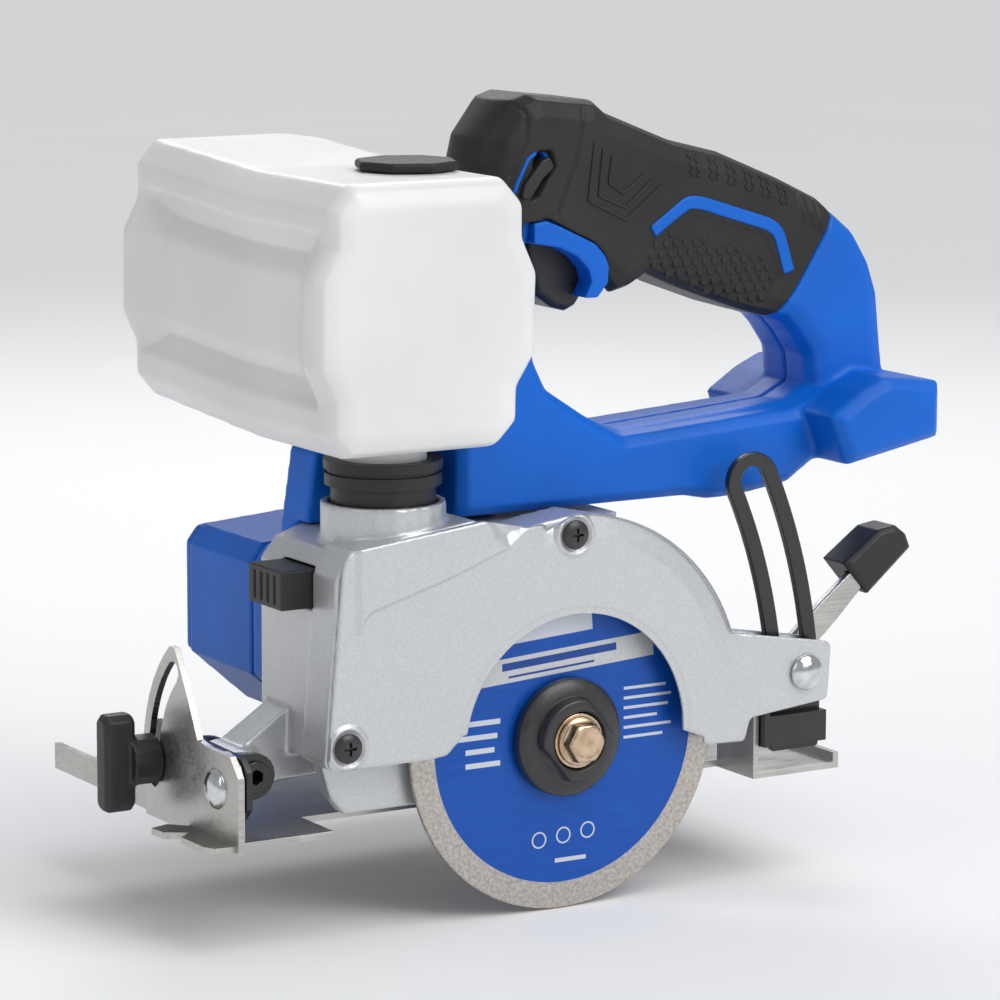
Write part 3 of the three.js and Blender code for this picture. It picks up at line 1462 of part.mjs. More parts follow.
function waterTank() {
  const farY = TANK_NEAR_Y + TANK_LENGTH_Y;
  const corner = upZ(TANK_FAR_CORNER, 100, 200);
  const cornerSkin = upZ(
    TANK_FAR_CORNER.map(([x, y]) => [x - TANK_WALL, y - TANK_WALL]),
    100,
    200,
  );
  const outside = raisedBeyondNeck(
    acrossY(TANK_PROFILE, TANK_NEAR_Y, farY, { bevel: 6, steps: 2 }).subtract(corner),
  );
  const insideProfile = inset(TANK_PROFILE, TANK_WALL);
  const hollow = raisedBeyondNeck(
    acrossY(insideProfile, TANK_NEAR_Y + TANK_WALL, farY - TANK_WALL, { bevel: 5 }).subtract(cornerSkin),
  );
  const recess = box(
    POST_RECESS.x,
    0,
    HANDLE_Y - POST_RECESS.halfWidth,
    HANDLE_Y + POST_RECESS.halfWidth,
    90,
    POST_RECESS.z,
  );
  const recessSkin = box(
    POST_RECESS.x - TANK_WALL,
    0,
    HANDLE_Y - POST_RECESS.halfWidth - TANK_WALL,
    HANDLE_Y + POST_RECESS.halfWidth + TANK_WALL,
    90,
    POST_RECESS.z + TANK_WALL,
  );
  const neck = roundZ(SOCKET_X, SOCKET_Y, TANK_NECK_R, TANK_NECK_END_Z, 118);
  const neckBore = roundZ(SOCKET_X, SOCKET_Y, TANK_NECK_R - 2, TANK_NECK_END_Z - 1, 122);
  const fill = roundZ(FILL_X, FILL_Y, FILL_R, TANK_TOP_Z - 6, TANK_TOP_Z + 1);
  const shell = outside.subtract(hollow.subtract(recessSkin)).subtract(recess);
  return join(shell, neck).subtract(join(neckBore, fill));
}

function tankCollar() {
  const bottom = SOCKET_FLOOR_Z + 2;
  const rings = join(
    roundZ(SOCKET_X, SOCKET_Y, COLLAR_R + 2.1, COLLAR_TOP_Z - 2.8, COLLAR_TOP_Z),
    roundZ(SOCKET_X, SOCKET_Y, COLLAR_R + 0.9, COLLAR_TOP_Z - 5, COLLAR_TOP_Z - 1),
    roundZ(SOCKET_X, SOCKET_Y, COLLAR_R + 1.8, COLLAR_TOP_Z - 7.6, COLLAR_TOP_Z - 4),
    roundZ(SOCKET_X, SOCKET_Y, COLLAR_R, bottom, COLLAR_TOP_Z - 5),
  );
  const groove = ringZ(SOCKET_X, SOCKET_Y, COLLAR_R - 1.4, COLLAR_R + 2, bottom + 3, bottom + 5.4);
  const neckRoom = roundZ(SOCKET_X, SOCKET_Y, TANK_NECK_R + GAP, TANK_NECK_END_Z - GAP, COLLAR_TOP_Z + 1);
  const drain = roundZ(SOCKET_X, SOCKET_Y, 6, bottom - 1, TANK_NECK_END_Z);
  return rings.subtract(join(groove, neckRoom, drain));
}

function fillCap() {
  const octagon = circle(FILL_X, FILL_Y, FILL_CAP_R, 8).map(([x, y]) => [x, y]);
  const lid = upZ(octagon, TANK_TOP_Z + GAP, TANK_TOP_Z + 3.2, { bevel: 0.8 });
  const plug = roundZ(FILL_X, FILL_Y, FILL_R - GAP, TANK_TOP_Z - 7, TANK_TOP_Z + 1);
  const hollow = roundZ(FILL_X, FILL_Y, FILL_R - 3, TANK_TOP_Z - 8, TANK_TOP_Z - 1);
  return join(lid, plug).subtract(hollow);
}

const SEAL_Z = SOCKET_FLOOR_Z + 2 + 3 + GAP;
add("water_tank", waterTank(), TANK_WHITE);
add("tank_collar", tankCollar(), BLACK_PLASTIC);
add(
  "collar_seal",
  ringZ(SOCKET_X, SOCKET_Y, COLLAR_R - 1.4 + GAP, COLLAR_R + 0.35, SEAL_Z, SEAL_Z + 1.8),
  BLACK_RUBBER,
);
add("fill_cap", fillCap(), BLACK_RUBBER);

export default part;
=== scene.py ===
"""The looks of a cordless wet tile saw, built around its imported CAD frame.

Lengths are in millimetres and in the saw's own frame until P() turns them into metres:
x 0 on the blade's axis with +x to the rear, y 0 on the blade's outer face, z 0 under the base.
"""

import json
import math

import bmesh
import bpy
import numpy as np
from mathutils import Matrix, Vector
from mathutils.bvhtree import BVHTree


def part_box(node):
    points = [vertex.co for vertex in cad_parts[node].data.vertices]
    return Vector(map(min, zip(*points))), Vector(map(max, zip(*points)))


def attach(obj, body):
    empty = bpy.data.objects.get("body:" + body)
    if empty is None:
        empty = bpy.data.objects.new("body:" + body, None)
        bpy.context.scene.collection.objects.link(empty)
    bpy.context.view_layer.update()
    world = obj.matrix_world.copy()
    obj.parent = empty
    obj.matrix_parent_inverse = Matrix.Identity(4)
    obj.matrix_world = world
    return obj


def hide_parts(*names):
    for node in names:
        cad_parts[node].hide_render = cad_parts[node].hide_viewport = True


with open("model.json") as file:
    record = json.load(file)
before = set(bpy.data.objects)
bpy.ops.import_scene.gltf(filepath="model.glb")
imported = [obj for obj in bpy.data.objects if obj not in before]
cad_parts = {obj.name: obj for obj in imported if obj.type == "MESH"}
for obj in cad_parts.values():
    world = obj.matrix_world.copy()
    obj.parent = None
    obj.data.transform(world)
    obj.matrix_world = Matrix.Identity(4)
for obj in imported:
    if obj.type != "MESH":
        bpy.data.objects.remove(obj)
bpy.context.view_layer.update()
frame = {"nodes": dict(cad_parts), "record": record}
NODES = frame["nodes"]
SCENE = bpy.context.scene

MM = 0.001
FACE_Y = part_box("blade")[0].y
SPINDLE_Z = sum(corner.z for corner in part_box("blade")) / 2 / MM
BLADE_R = (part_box("blade")[1].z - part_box("blade")[0].z) / 2 / MM
HANDLE_Y = 30.0


def P(x, y, z):
    """A point of the saw's frame, in metres of the shared frame."""
    return Vector((x * MM, FACE_Y + y * MM, z * MM))


# ---------------------------------------------------------------- materials


class Finish:
    """A node material, built up from object-space patterns. Scales are in features per metre."""

    def __init__(self, name, colour, roughness, metallic=0.0, **sockets):
        self.material = bpy.data.materials.new(name)
        self.material.use_nodes = True
        self.tree = self.material.node_tree
        self.shader = self.tree.nodes["Principled BSDF"]
        self.colour = (*colour, 1.0)
        self.place = self.add("ShaderNodeTexCoord").outputs["Object"]
        self.normal = None
        self.set("Base Color", self.colour)
        self.set("Roughness", roughness)
        self.set("Metallic", metallic)
        for socket, value in sockets.items():
            self.set(socket.replace("_", " "), value)

    def add(self, kind, **fields):
        node = self.tree.nodes.new(kind)
        for field, value in fields.items():
            setattr(node, field, value)
        return node

    def link(self, out, into):
        self.tree.links.new(out, into)

    def set(self, socket, value):
        self.shader.inputs[socket].default_value = value

    def stretched(self, x, y, z):
        """Object coordinates scaled by axis, for streaks."""
        node = self.add("ShaderNodeMapping")
        self.link(self.place, node.inputs["Vector"])
        node.inputs["Scale"].default_value = (x, y, z)
        return node.outputs["Vector"]

    def noise(self, scale, detail=2.0, place=None, distortion=0.0):
        node = self.add("ShaderNodeTexNoise")
        self.link(place or self.place, node.inputs["Vector"])
        node.inputs["Scale"].default_value = scale
        node.inputs["Detail"].default_value = detail
        node.inputs["Distortion"].default_value = distortion
        return node.outputs["Fac"]

    def cells(self, scale, feature="F1"):
        node = self.add("ShaderNodeTexVoronoi", feature=feature)
        self.link(self.place, node.inputs["Vector"])
        node.inputs["Scale"].default_value = scale
        return node.outputs["Distance"]

    def ramp(self, value, *stops):
        """Maps a value through (position, grey level or colour) stops."""
        node = self.add("ShaderNodeValToRGB")
        self.link(value, node.inputs["Fac"])
        elements = node.color_ramp.elements
        while len(elements) < len(stops):
            elements.new(0.5)
        for element, (position, level) in zip(elements, stops):
            element.position = position
            level = level if isinstance(level, tuple) else (level, level, level)
            element.color = (*level, 1.0)
        return node.outputs["Color"]

    def math(self, operation, a, b=None, c=None):
        node = self.add("ShaderNodeMath", operation=operation)
        for socket, value in zip(node.inputs, (a, b, c)):
            if value is None:
                continue
            if isinstance(value, (int, float)):
                socket.default_value = value
            else:
                self.link(value, socket)
        return node.outputs["Value"]

    def blend(self, mask, low, high):
        """Low colour where the mask is 0, high colour where it is 1."""
        node = self.add("ShaderNodeMix", data_type="RGBA")
        self.link(mask, node.inputs["Factor"])
        for index, value in ((6, low), (7, high)):
            if isinstance(value, tuple):
                node.inputs[index].default_value = (*value[:3], 1.0)
            else:
                self.link(value, node.inputs[index])
        return node.outputs[2]

    def tint(self, mask, low, high):
        self.link(self.blend(mask, low, high), self.shader.inputs["Base Color"])

    def rough(self, value, low, high):
        """Roughness runs from low to high as the value runs from 0.3 to 0.7."""
        self.link(self.ramp(value, (0.3, low), (0.7, high)), self.shader.inputs["Roughness"])

    def bump(self, height, strength, depth):
        """Adds relief of that depth in millimetres."""
        node = self.add("ShaderNodeBump")
        node.inputs["Strength"].default_value = strength
        node.inputs["Distance"].default_value = depth * MM
        self.link(height, node.inputs["Height"])
        if self.normal:
            self.link(self.normal, node.inputs["Normal"])
        self.normal = node.outputs["Normal"]
        self.link(self.normal, self.shader.inputs["Normal"])

    def edges(self, low, high):
        """0 on flat faces and 1 on sharp raised edges, from the mesh's pointiness."""
        point = self.add("ShaderNodeNewGeometry").outputs["Pointiness"]
        return self.ramp(point, (low, 0.0), (high, 1.0))


def shade(colour, factor):
    return tuple(min(1.0, c * factor) for c in colour)


def plastic(name, colour, roughness, grain=1900, relief=0.05, strength=0.35, **sockets):
    """Moulded plastic: a fine spark-eroded grain, faint flow mottling and uneven gloss."""
    finish = Finish(name, colour, roughness, **sockets)
    flow = finish.noise(28, 3)
    finish.tint(finish.ramp(flow, (0.3, 0.0), (0.7, 1.0)), shade(colour, 0.88), shade(colour, 1.07))
    finish.rough(finish.noise(grain * 0.7, 2), roughness - 0.07, roughness + 0.09)
    finish.bump(finish.cells(grain), strength, relief)
    return finish.material


def steel(name, dark, light, roughness, streak=(40, 900, 900), relief=0.02, **sockets):
    """Rolled or plated sheet: streaks along the rolling direction and a cloudy plate."""
    finish = Finish(name, light, roughness, 1.0, **sockets)
    lines = finish.noise(1.0, 4, finish.stretched(*streak))
    cloud = finish.noise(60, 4, distortion=0.6)
    both = finish.math("MULTIPLY_ADD", lines, 0.55, finish.math("MULTIPLY", cloud, 0.45))
    finish.tint(finish.ramp(both, (0.36, 0.0), (0.62, 1.0)), dark, light)
    finish.rough(both, roughness - 0.1, roughness + 0.14)
    finish.bump(lines, 0.5, relief)
    return finish.material


def black_coat(name, colour, roughness):
    """Baked black coating: smooth, with a faint orange-peel skin."""
    finish = Finish(name, colour, roughness, 0.0, Coat_Weight=0.3, Coat_Roughness=0.2)
    peel = finish.noise(420, 2)
    finish.tint(finish.ramp(peel, (0.3, 0.0), (0.7, 1.0)), shade(colour, 0.85), shade(colour, 1.2))
    finish.rough(peel, roughness - 0.05, roughness + 0.08)
    finish.bump(peel, 0.15, 0.03)
    return finish.material


def flake_paint(name, colour, roughness):
    """Silver metallic paint: tiny bright and dark flakes under a thin clear coat."""
    finish = Finish(name, colour, roughness, 0.55, Coat_Weight=0.25, Coat_Roughness=0.22)
    flakes = finish.add("ShaderNodeTexVoronoi")
    finish.link(finish.place, flakes.inputs["Vector"])
    flakes.inputs["Scale"].default_value = 2600
    spark = finish.math("MULTIPLY", flakes.outputs["Color"], 1.0)
    finish.tint(finish.ramp(spark, (0.25, 0.0), (0.75, 1.0)), shade(colour, 0.94), shade(colour, 1.06))
    finish.rough(finish.noise(1500, 2), roughness - 0.08, roughness + 0.12)
    finish.bump(spark, 0.25, 0.05)
    finish.bump(finish.noise(260, 3), 0.12, 0.12)
    return finish.material


def rubber(name, colour, roughness):
    """Soft-touch overmould: a dull skin with a dusty sheen and fine grain."""
    finish = Finish(name, colour, roughness, Specular_IOR_Level=0.35)
    patches = finish.ramp(finish.noise(40, 4), (0.3, 0.0), (0.7, 1.0))
    finish.tint(patches, shade(colour, 0.8), shade(colour, 1.3))
    finish.rough(finish.noise(1200, 2), roughness - 0.08, roughness + 0.1)
    finish.bump(finish.cells(2100), 0.3, 0.05)
    return finish.material


def tank_skin(name):
    """Natural polyethylene: milky, slightly see-through at its thin edges, with a leather grain."""
    colour = (0.80, 0.80, 0.795)
    finish = Finish(
        name, colour, 0.36,
        Subsurface_Weight=0.35, Subsurface_Scale=0.006, Subsurface_Radius=(1.0, 1.0, 1.0),
        Coat_Weight=0.12, Coat_Roughness=0.3,
    )
    cloud = finish.noise(16, 3)
    finish.tint(finish.ramp(cloud, (0.3, 0.0), (0.7, 1.0)), (0.74, 0.745, 0.745), (0.84, 0.84, 0.83))
    finish.rough(finish.noise(700, 2), 0.3, 0.46)
    finish.bump(finish.cells(620), 0.3, 0.09)
    finish.bump(finish.noise(1500, 3), 0.25, 0.05)
    return finish.material


def blade_print(name):
    """Blue printed core with a slanted silver band and plain bars, and a bare diamond rim."""
    finish = Finish(name, (0.0, 0.10, 0.50), 0.38, 0.25)
    separate = finish.add("ShaderNodeSeparateXYZ")
    finish.link(finish.place, separate.inputs["Vector"])
    x = separate.outputs["X"]
    z = finish.math("SUBTRACT", separate.outputs["Z"], SPINDLE_Z * MM)
    r = finish.math("SQRT", finish.math("MULTIPLY_ADD", x, x, finish.math("MULTIPLY", z, z)))

    def between(value, low, high, edge=0.00012):
        """1 where low < value < high, millimetres, with a crisp edge."""
        up = finish.math("MULTIPLY_ADD", value, 1 / edge, -low * MM / edge)
        down = finish.math("MULTIPLY_ADD", value, -1 / edge, high * MM / edge)
        both = finish.math("MINIMUM", up, down)
        node = finish.add("ShaderNodeClamp")
        finish.link(both, node.inputs["Value"])
        return node.outputs["Result"]

    def box(a0, a1, b0, b1, a, b):
        return finish.math("MULTIPLY", between(a, a0, a1), between(b, b0, b1))

    tilt = math.radians(3.8)
    along = finish.math("MULTIPLY_ADD", x, math.cos(tilt), finish.math("MULTIPLY", z, math.sin(tilt)))
    across = finish.math("MULTIPLY_ADD", x, -math.sin(tilt), finish.math("MULTIPLY", z, math.cos(tilt)))
    core = between(r, 0, 44.6)
    band = finish.math("MULTIPLY", between(across, 19.1, 26.6), between(along, -60, 33))
    band = finish.math("MULTIPLY", band, core)
    heading = box(-20, 20, 22.8, 25.2, along, across)
    underline = box(-18, 12, 20.4, 21.2, along, across)
    dark = finish.math("MAXIMUM", heading, underline)
    text = box(-16, 12, 30.5, 36.5, along, across)
    for row, (left, right) in enumerate(((21, 36), (21, 38), (21, 37), (21, 33), (21, 38), (21, 35))):
        low = 11.5 - row * 3.0
        text = finish.math("MAXIMUM", text, box(left, right, low, low + 1.0, x, z))
    for row, (left, right) in enumerate(((-37, -22), (-38, -23), (-34, -24), (-34, -22))):
        low = 6 - row * 4.2
        text = finish.math("MAXIMUM", text, box(left, right, low, low + 1.7, x, z))
    for column in range(3):
        dx = finish.math("SUBTRACT", x, (-8.5 + 8.5 * column) * MM)
        dz = finish.math("ADD", z, (31.0 - 0.6 * column) * MM)
        far = finish.math("SQRT", finish.math("MULTIPLY_ADD", dx, dx, finish.math("MULTIPLY", dz, dz)))
        text = finish.math("MAXIMUM", text, between(far, 2.0, 2.6))
    text = finish.math("MAXIMUM", text, box(-3, 8, -38.6, -37.2, x, z))

    streaks = finish.noise(1.0, 3, finish.stretched(70, 70, 900))
    grit = finish.noise(900, 3)
    sheen = finish.ramp(streaks, (0.35, 0.0), (0.65, 1.0))
    blue = finish.blend(sheen, (0.0, 0.072, 0.40), (0.0, 0.084, 0.44))
    silver = finish.blend(grit, (0.50, 0.52, 0.54), (0.66, 0.68, 0.70))
    rim = finish.blend(finish.ramp(grit, (0.35, 0.0), (0.65, 1.0)), (0.42, 0.38, 0.34), (0.60, 0.57, 0.53))
    printed = finish.blend(band, blue, silver)
    printed = finish.blend(finish.math("MULTIPLY", dark, band), printed, (0.01, 0.06, 0.30))
    printed = finish.blend(finish.math("MULTIPLY", text, core), printed, (0.62, 0.66, 0.72))
    finish.link(finish.blend(core, rim, printed), finish.shader.inputs["Base Color"])
    bare = finish.math("SUBTRACT", 1.0, core)
    finish.link(finish.math("MULTIPLY_ADD", bare, 0.65, 0.25), finish.shader.inputs["Metallic"])
    finish.link(finish.math("MULTIPLY_ADD", grit, 0.25, 0.24), finish.shader.inputs["Roughness"])
    finish.bump(finish.math("MULTIPLY", grit, bare), 0.6, 0.12)
    finish.bump(streaks, 0.15, 0.02)
    return finish.material


BLUE = (0.0, 0.125, 0.60)
BLACK = (0.017, 0.017, 0.018)
MATERIALS = {
    "zinc_steel": steel(
        "zinc_steel", (0.42, 0.405, 0.385), (0.60, 0.585, 0.56), 0.32, (30, 1400, 1400),
    ),
    "polished_steel": steel(
        "polished_steel", (0.52, 0.53, 0.55), (0.80, 0.81, 0.83), 0.16, (300, 300, 300),
    ),
    "black_steel": black_coat("black_steel", (0.010, 0.010, 0.011), 0.22),
    "blackened_steel": black_coat("blackened_steel", (0.022, 0.022, 0.023), 0.34),
    "silver_paint": flake_paint("silver_paint", (0.60, 0.61, 0.62), 0.36),
    "bare_casting": steel(
        "bare_casting", (0.24, 0.25, 0.26), (0.46, 0.47, 0.48), 0.42, (200, 200, 200), 0.06,
    ),
    "blue_plastic": plastic("blue_plastic", BLUE, 0.42, Specular_IOR_Level=0.3),
    "grip_rubber": rubber("grip_rubber", (0.020, 0.0185, 0.0175), 0.5),
    "black_plastic": plastic("black_plastic", BLACK, 0.42),
    "tank_plastic": tank_skin("tank_plastic"),
    "blade_face": blade_print("blade_face"),
    "yellow_zinc": steel("yellow_zinc", (0.46, 0.32, 0.20), (0.80, 0.63, 0.46), 0.24, (250, 40, 250)),
    "copper": steel("copper", (0.35, 0.14, 0.06), (0.75, 0.36, 0.18), 0.35, (700, 60, 700)),
    "board_green": plastic("board_green", (0.02, 0.12, 0.05), 0.4),
    "brass": steel("brass", (0.45, 0.33, 0.14), (0.78, 0.60, 0.30), 0.25),
    "gear_steel": steel("gear_steel", (0.28, 0.28, 0.30), (0.55, 0.55, 0.57), 0.28, (60, 900, 60)),
}
SLOT_OF = {part["node"]: part["material_slot"] for part in frame["record"]["subparts"]}


# ---------------------------------------------------------------- mesh helpers


BODY_OF = {
    node: body for body, members in frame["record"]["behaviour"]["bodies"].items() for node in members
}


def paint(piece, slot):
    piece.data.materials.clear()
    piece.data.materials.append(MATERIALS[slot])


def make(name, mesh_data, body, slot, replaces=()):
    """A finished piece from a bmesh or a mesh, riding on its body."""
    if isinstance(mesh_data, bmesh.types.BMesh):
        bmesh.ops.recalc_face_normals(mesh_data, faces=mesh_data.faces)
        mesh = bpy.data.meshes.new(name)
        mesh_data.to_mesh(mesh)
        mesh_data.free()
    else:
        mesh = mesh_data
    mesh.polygons.foreach_set("use_smooth", [True] * len(mesh.polygons))
    piece = bpy.data.objects.new(name, mesh)
    SCENE.collection.objects.link(piece)
    paint(piece, slot)
    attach(piece, body)
    if replaces:
        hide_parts(*replaces)
    return piece


def bake(piece):
    """Replaces a piece's mesh by what its modifiers give."""
    bpy.context.view_layer.update()
    graph = bpy.context.evaluated_depsgraph_get()
    baked = bpy.data.meshes.new_from_object(piece.evaluated_get(graph))
    piece.modifiers.clear()
    piece.data = baked
    return piece


def soften(piece, width, segments=2, angle=28):
    """Rounds the edges and keeps the flats flat, as tumbled steel or a fine mould has them."""
    bevel = piece.modifiers.new("Edge", "BEVEL")
    bevel.width = width * MM
    bevel.segments = segments
    bevel.limit_method = "ANGLE"
    bevel.angle_limit = math.radians(angle)
    bevel.use_clamp_overlap = True
    weighted = piece.modifiers.new("Normals", "WEIGHTED_NORMAL")
    weighted.keep_sharp = True
    return piece


def welded(node):
    """A copy of a CAD node's mesh with its seams closed."""
    mesh = bmesh.new()
    mesh.from_mesh(NODES[node].data)
    bmesh.ops.remove_doubles(mesh, verts=mesh.verts, dist=1e-6)
    return mesh


def to_saw(mesh):
    """A mesh's vertices as an N by 3 array in the saw's frame."""
    flat = np.empty(len(mesh.vertices) * 3)
    mesh.vertices.foreach_get("co", flat)
    points = flat.reshape(-1, 3) / MM
    points[:, 1] -= FACE_Y / MM
    return points


def from_saw(mesh, points):
    world = points.copy()
    world[:, 1] += FACE_Y / MM
    mesh.vertices.foreach_set("co", (world * MM).ravel())
    mesh.update()


def moulded(node, voxel, rounds, edit=None, name=None, keep=1.0):
    """A dense copy of a CAD node with rounded edges, as a die or mould leaves them."""
    mesh = bpy.data.meshes.new(node)
    source = welded(node)
    source.to_mesh(mesh)
    source.free()
    piece = make(name or node + "_form", mesh, BODY_OF[node], SLOT_OF[node], (node,))
    remesh = piece.modifiers.new("Voxels", "REMESH")
    remesh.mode = "VOXEL"
    remesh.voxel_size = voxel * MM
    remesh.use_smooth_shade = True
    smooth = piece.modifiers.new("Rounding", "SMOOTH")
    smooth.factor = 0.5
    smooth.iterations = rounds
    bake(piece)
    if edit:
        points = to_saw(piece.data)
        edit(points)
        from_saw(piece.data, points)
    if keep < 1.0:
        thin = piece.modifiers.new("Thin", "DECIMATE")
        thin.ratio = keep
        bake(piece)
    piece.data.polygons.foreach_set("use_smooth", [True] * len(piece.data.polygons))
    paint(piece, SLOT_OF[node])
    return piece


def carried(node, width, segments=2):
    """A CAD node that stays: its seams are welded and its edges rounded by modifiers."""
    piece = NODES[node]
    mesh = piece.data
    if "custom_normal" in mesh.attributes:
        mesh.attributes.remove(mesh.attributes["custom_normal"])
    mesh.polygons.foreach_set("use_smooth", [True] * len(mesh.polygons))
    weld = piece.modifiers.new("Weld", "WELD")
    weld.merge_threshold = 1e-6
    flat = piece.modifiers.new("Flats", "DECIMATE")
    flat.decimate_type = "DISSOLVE"
    flat.angle_limit = math.radians(0.5)
    soften(piece, width, segments)
    mesh.materials.clear()
    mesh.materials.append(MATERIALS[SLOT_OF[node]])
    return piece


def axis_frame(centre, along):
    """The matrix that takes a lathe's own z axis to a direction at a point."""
    turn = Vector((0, 0, 1)).rotation_difference(Vector(along)).to_matrix().to_4x4()
    return Matrix.Translation(P(*centre)) @ turn


def lathe_mesh(profile, centre, along, sides=96):
    """A closed solid of revolution from (radius, distance along the axis) points.

    A radius may be a function of the angle, for hexagons and flats."""
    mesh = bmesh.new()
    place = axis_frame(centre, along)
    rings = []
    for radius, height in profile:
        if not callable(radius) and radius < 1e-6:
            rings.append([mesh.verts.new(place @ Vector((0, 0, height * MM)))])
            continue
        ring = []
        for i in range(sides):
            turn = 2 * math.pi * i / sides
            r = radius(turn) if callable(radius) else radius
            spot = Vector((r * math.cos(turn), r * math.sin(turn), height)) * MM
            ring.append(mesh.verts.new(place @ spot))
        rings.append(ring)
    closed = len(rings[0]) > 1
    pairs = list(zip(rings, rings[1:] + rings[:1])) if closed else list(zip(rings, rings[1:]))
    for low, high in pairs:
        for i in range(sides):
            j = (i + 1) % sides
            corners = [low[i % len(low)], low[j % len(low)], high[j % len(high)], high[i % len(high)]]
            mesh.faces.new([v for k, v in enumerate(corners) if v not in corners[:k]])
    return mesh


def hexagon(apothem, limit=1e9, turn=0.0):
    """Radius of a hexagon by angle, with its corners turned down to a limit."""
    def radius(angle):
        local = (angle - turn) % (math.pi / 3) - math.pi / 6
        return min(limit, apothem / math.cos(local))
    return radius


def flatted(round_radius, apothem, turn):
    """Radius of a disc with two parallel flats."""
    def radius(angle):
        return min(round_radius, apothem / max(1e-6, abs(math.cos(angle - turn))))
    return radius


def lathe(name, profile, centre, along, body, slot, replaces=(), sides=96, edge=0.0):
    piece = make(name, lathe_mesh(profile, centre, along, sides), body, slot, replaces)
    if edge:
        soften(piece, edge)
    else:
        piece.modifiers.new("Normals", "WEIGHTED_NORMAL")
    return piece


def prism_mesh(outline, place, depth):
    """An outline in millimetres on a plane, pushed along its normal by depth."""
    mesh = bmesh.new()
    low = [mesh.verts.new(place @ (Vector((u, v, 0)) * MM)) for u, v in outline]
    high = [mesh.verts.new(place @ (Vector((u, v, depth)) * MM)) for u, v in outline]
    mesh.faces.new(low[::-1])
    mesh.faces.new(high)
    for i in range(len(outline)):
        j = (i + 1) % len(outline)
        mesh.faces.new((low[i], low[j], high[j], high[i]))
    return mesh


def side_plane(y):
    """Plane of constant y: u runs along x, v along z, and the normal points to -y."""
    turn = Matrix(((1, 0, 0), (0, 0, -1), (0, 1, 0))).to_4x4()
    return Matrix.Translation(P(0, y, 0)) @ turn


def prism(name, outline, place, depth, body, slot, edge=0.3, segments=2, replaces=()):
    piece = make(name, prism_mesh(outline, place, depth), body, slot, replaces)
    return soften(piece, edge, segments)


def rounded(corners, steps=6):
    """An outline whose (u, v, radius) corners are turned into arcs."""
    outline = []
    for i, (u, v, radius) in enumerate(corners):
        corner = Vector((u, v))
        before = (Vector(corners[i - 1][:2]) - corner)
        after = (Vector(corners[(i + 1) % len(corners)][:2]) - corner)
        half = before.angle(after) / 2
        run = min(radius / math.tan(half), before.length * 0.49, after.length * 0.49) if radius else 0
        if run < 1e-3:
            outline.append((u, v))
            continue
        start, end = corner + before.normalized() * run, corner + after.normalized() * run
        for k in range(steps + 1):
            t = k / steps
            spot = start * (1 - t) ** 2 + corner * 2 * t * (1 - t) + end * t * t
            outline.append((spot.x, spot.y))
    return outline


def polygon(sides, radius, turn=0.0, centre=(0.0, 0.0)):
    return [
        (
            centre[0] + radius * math.cos(turn + 2 * math.pi * i / sides),
            centre[1] + radius * math.sin(turn + 2 * math.pi * i / sides),
        )
        for i in range(sides)
    ]


def cut(piece, tool_mesh):
    """Takes a tool's volume out of a piece."""
    data = bpy.data.meshes.new("tool")
    bmesh.ops.recalc_face_normals(tool_mesh, faces=tool_mesh.faces)
    tool_mesh.to_mesh(data)
    tool_mesh.free()
    tool = bpy.data.objects.new("tool", data)
    SCENE.collection.objects.link(tool)
    boolean = piece.modifiers.new("Cut", "BOOLEAN")
    boolean.object = tool
    boolean.operation = "DIFFERENCE"
    boolean.solver = "EXACT"
    bake(piece)
    bpy.data.objects.remove(tool)
    return piece


# ---------------------------------------------------------------- flat geometry on arrays


def smoothstep(low, high, value):
    t = np.clip((value - low) / (high - low), 0, 1)
    return t * t * (3 - 2 * t)


def line_distance(points, line):
    """Distance in the side view from each point to a polyline."""
    flat = points[:, [0, 2]]
    best = np.full(len(points), np.inf)
    for start, end in zip(line, line[1:]):
        a = np.array(start, float)
        ab = np.array(end, float) - a
        t = np.clip(((flat - a) @ ab) / (ab @ ab), 0, 1)
        best = np.minimum(best, np.linalg.norm(flat - a - t[:, None] * ab, axis=1))
    return best


def inside_distance(points, outline):
    """Distance to a closed outline in the side view, positive inside it."""
    x, z = points[:, 0], points[:, 2]
    inside = np.zeros(len(points), bool)
    loop = list(outline) + [outline[0]]
    for (x0, z0), (x1, z1) in zip(loop, loop[1:]):
        if z0 == z1:
            continue
        crosses = (z0 > z) != (z1 > z)
        inside ^= crosses & (x < (x1 - x0) * (z - z0) / (z1 - z0) + x0)
    return np.where(inside, 1, -1) * line_distance(points, loop)


# ---------------------------------------------------------------- handle


CHEVRONS = (
    ((18.2, 195.4), (16.0, 178.2), (29.4, 171.7), (42.1, 181.7)),
    ((21.1, 193.4), (19.6, 179.5), (29.0, 175.5), (38.6, 183.4)),
    ((24.3, 191.3), (23.1, 183.1), (28.1, 179.8), (35.3, 184.7)),
)
NOSE_SEAMS = (
    ((-10.0, 208.8), (-9.1, 203.5), (-11.3, 195.4), (-16.6, 186.7)),
    ((14.8, 206.0), (11.7, 189.7), (4.1, 174.3)),
)
ZIGZAGS = (
    ((52.8, 194.0), (53.8, 183.6)),
    ((60.6, 192.8), (60.7, 182.1)),
    ((67.1, 190.6), (67.2, 180.2)),
    ((73.6, 188.4), (73.7, 178.3)),
    ((79.7, 186.3), (79.8, 176.0)),
    ((85.8, 182.3), (86.4, 173.7)),
)
PALM_FIELD = ((36.0, 165.0), (48.5, 173.0), (58.0, 172.0), (80.0, 165.3), (86.5, 151.0), (80.5, 142.0),
              (59.0, 146.5), (31.5, 158.0))
DOT_FIELD = (
    (37.9, 163.9), (44.3, 168.6), (79.5, 159.6), (83.3, 153.4), (82.5, 142.5), (51.7, 148.0), (35.2, 157.0),
)
DOT_PITCH = 3.5
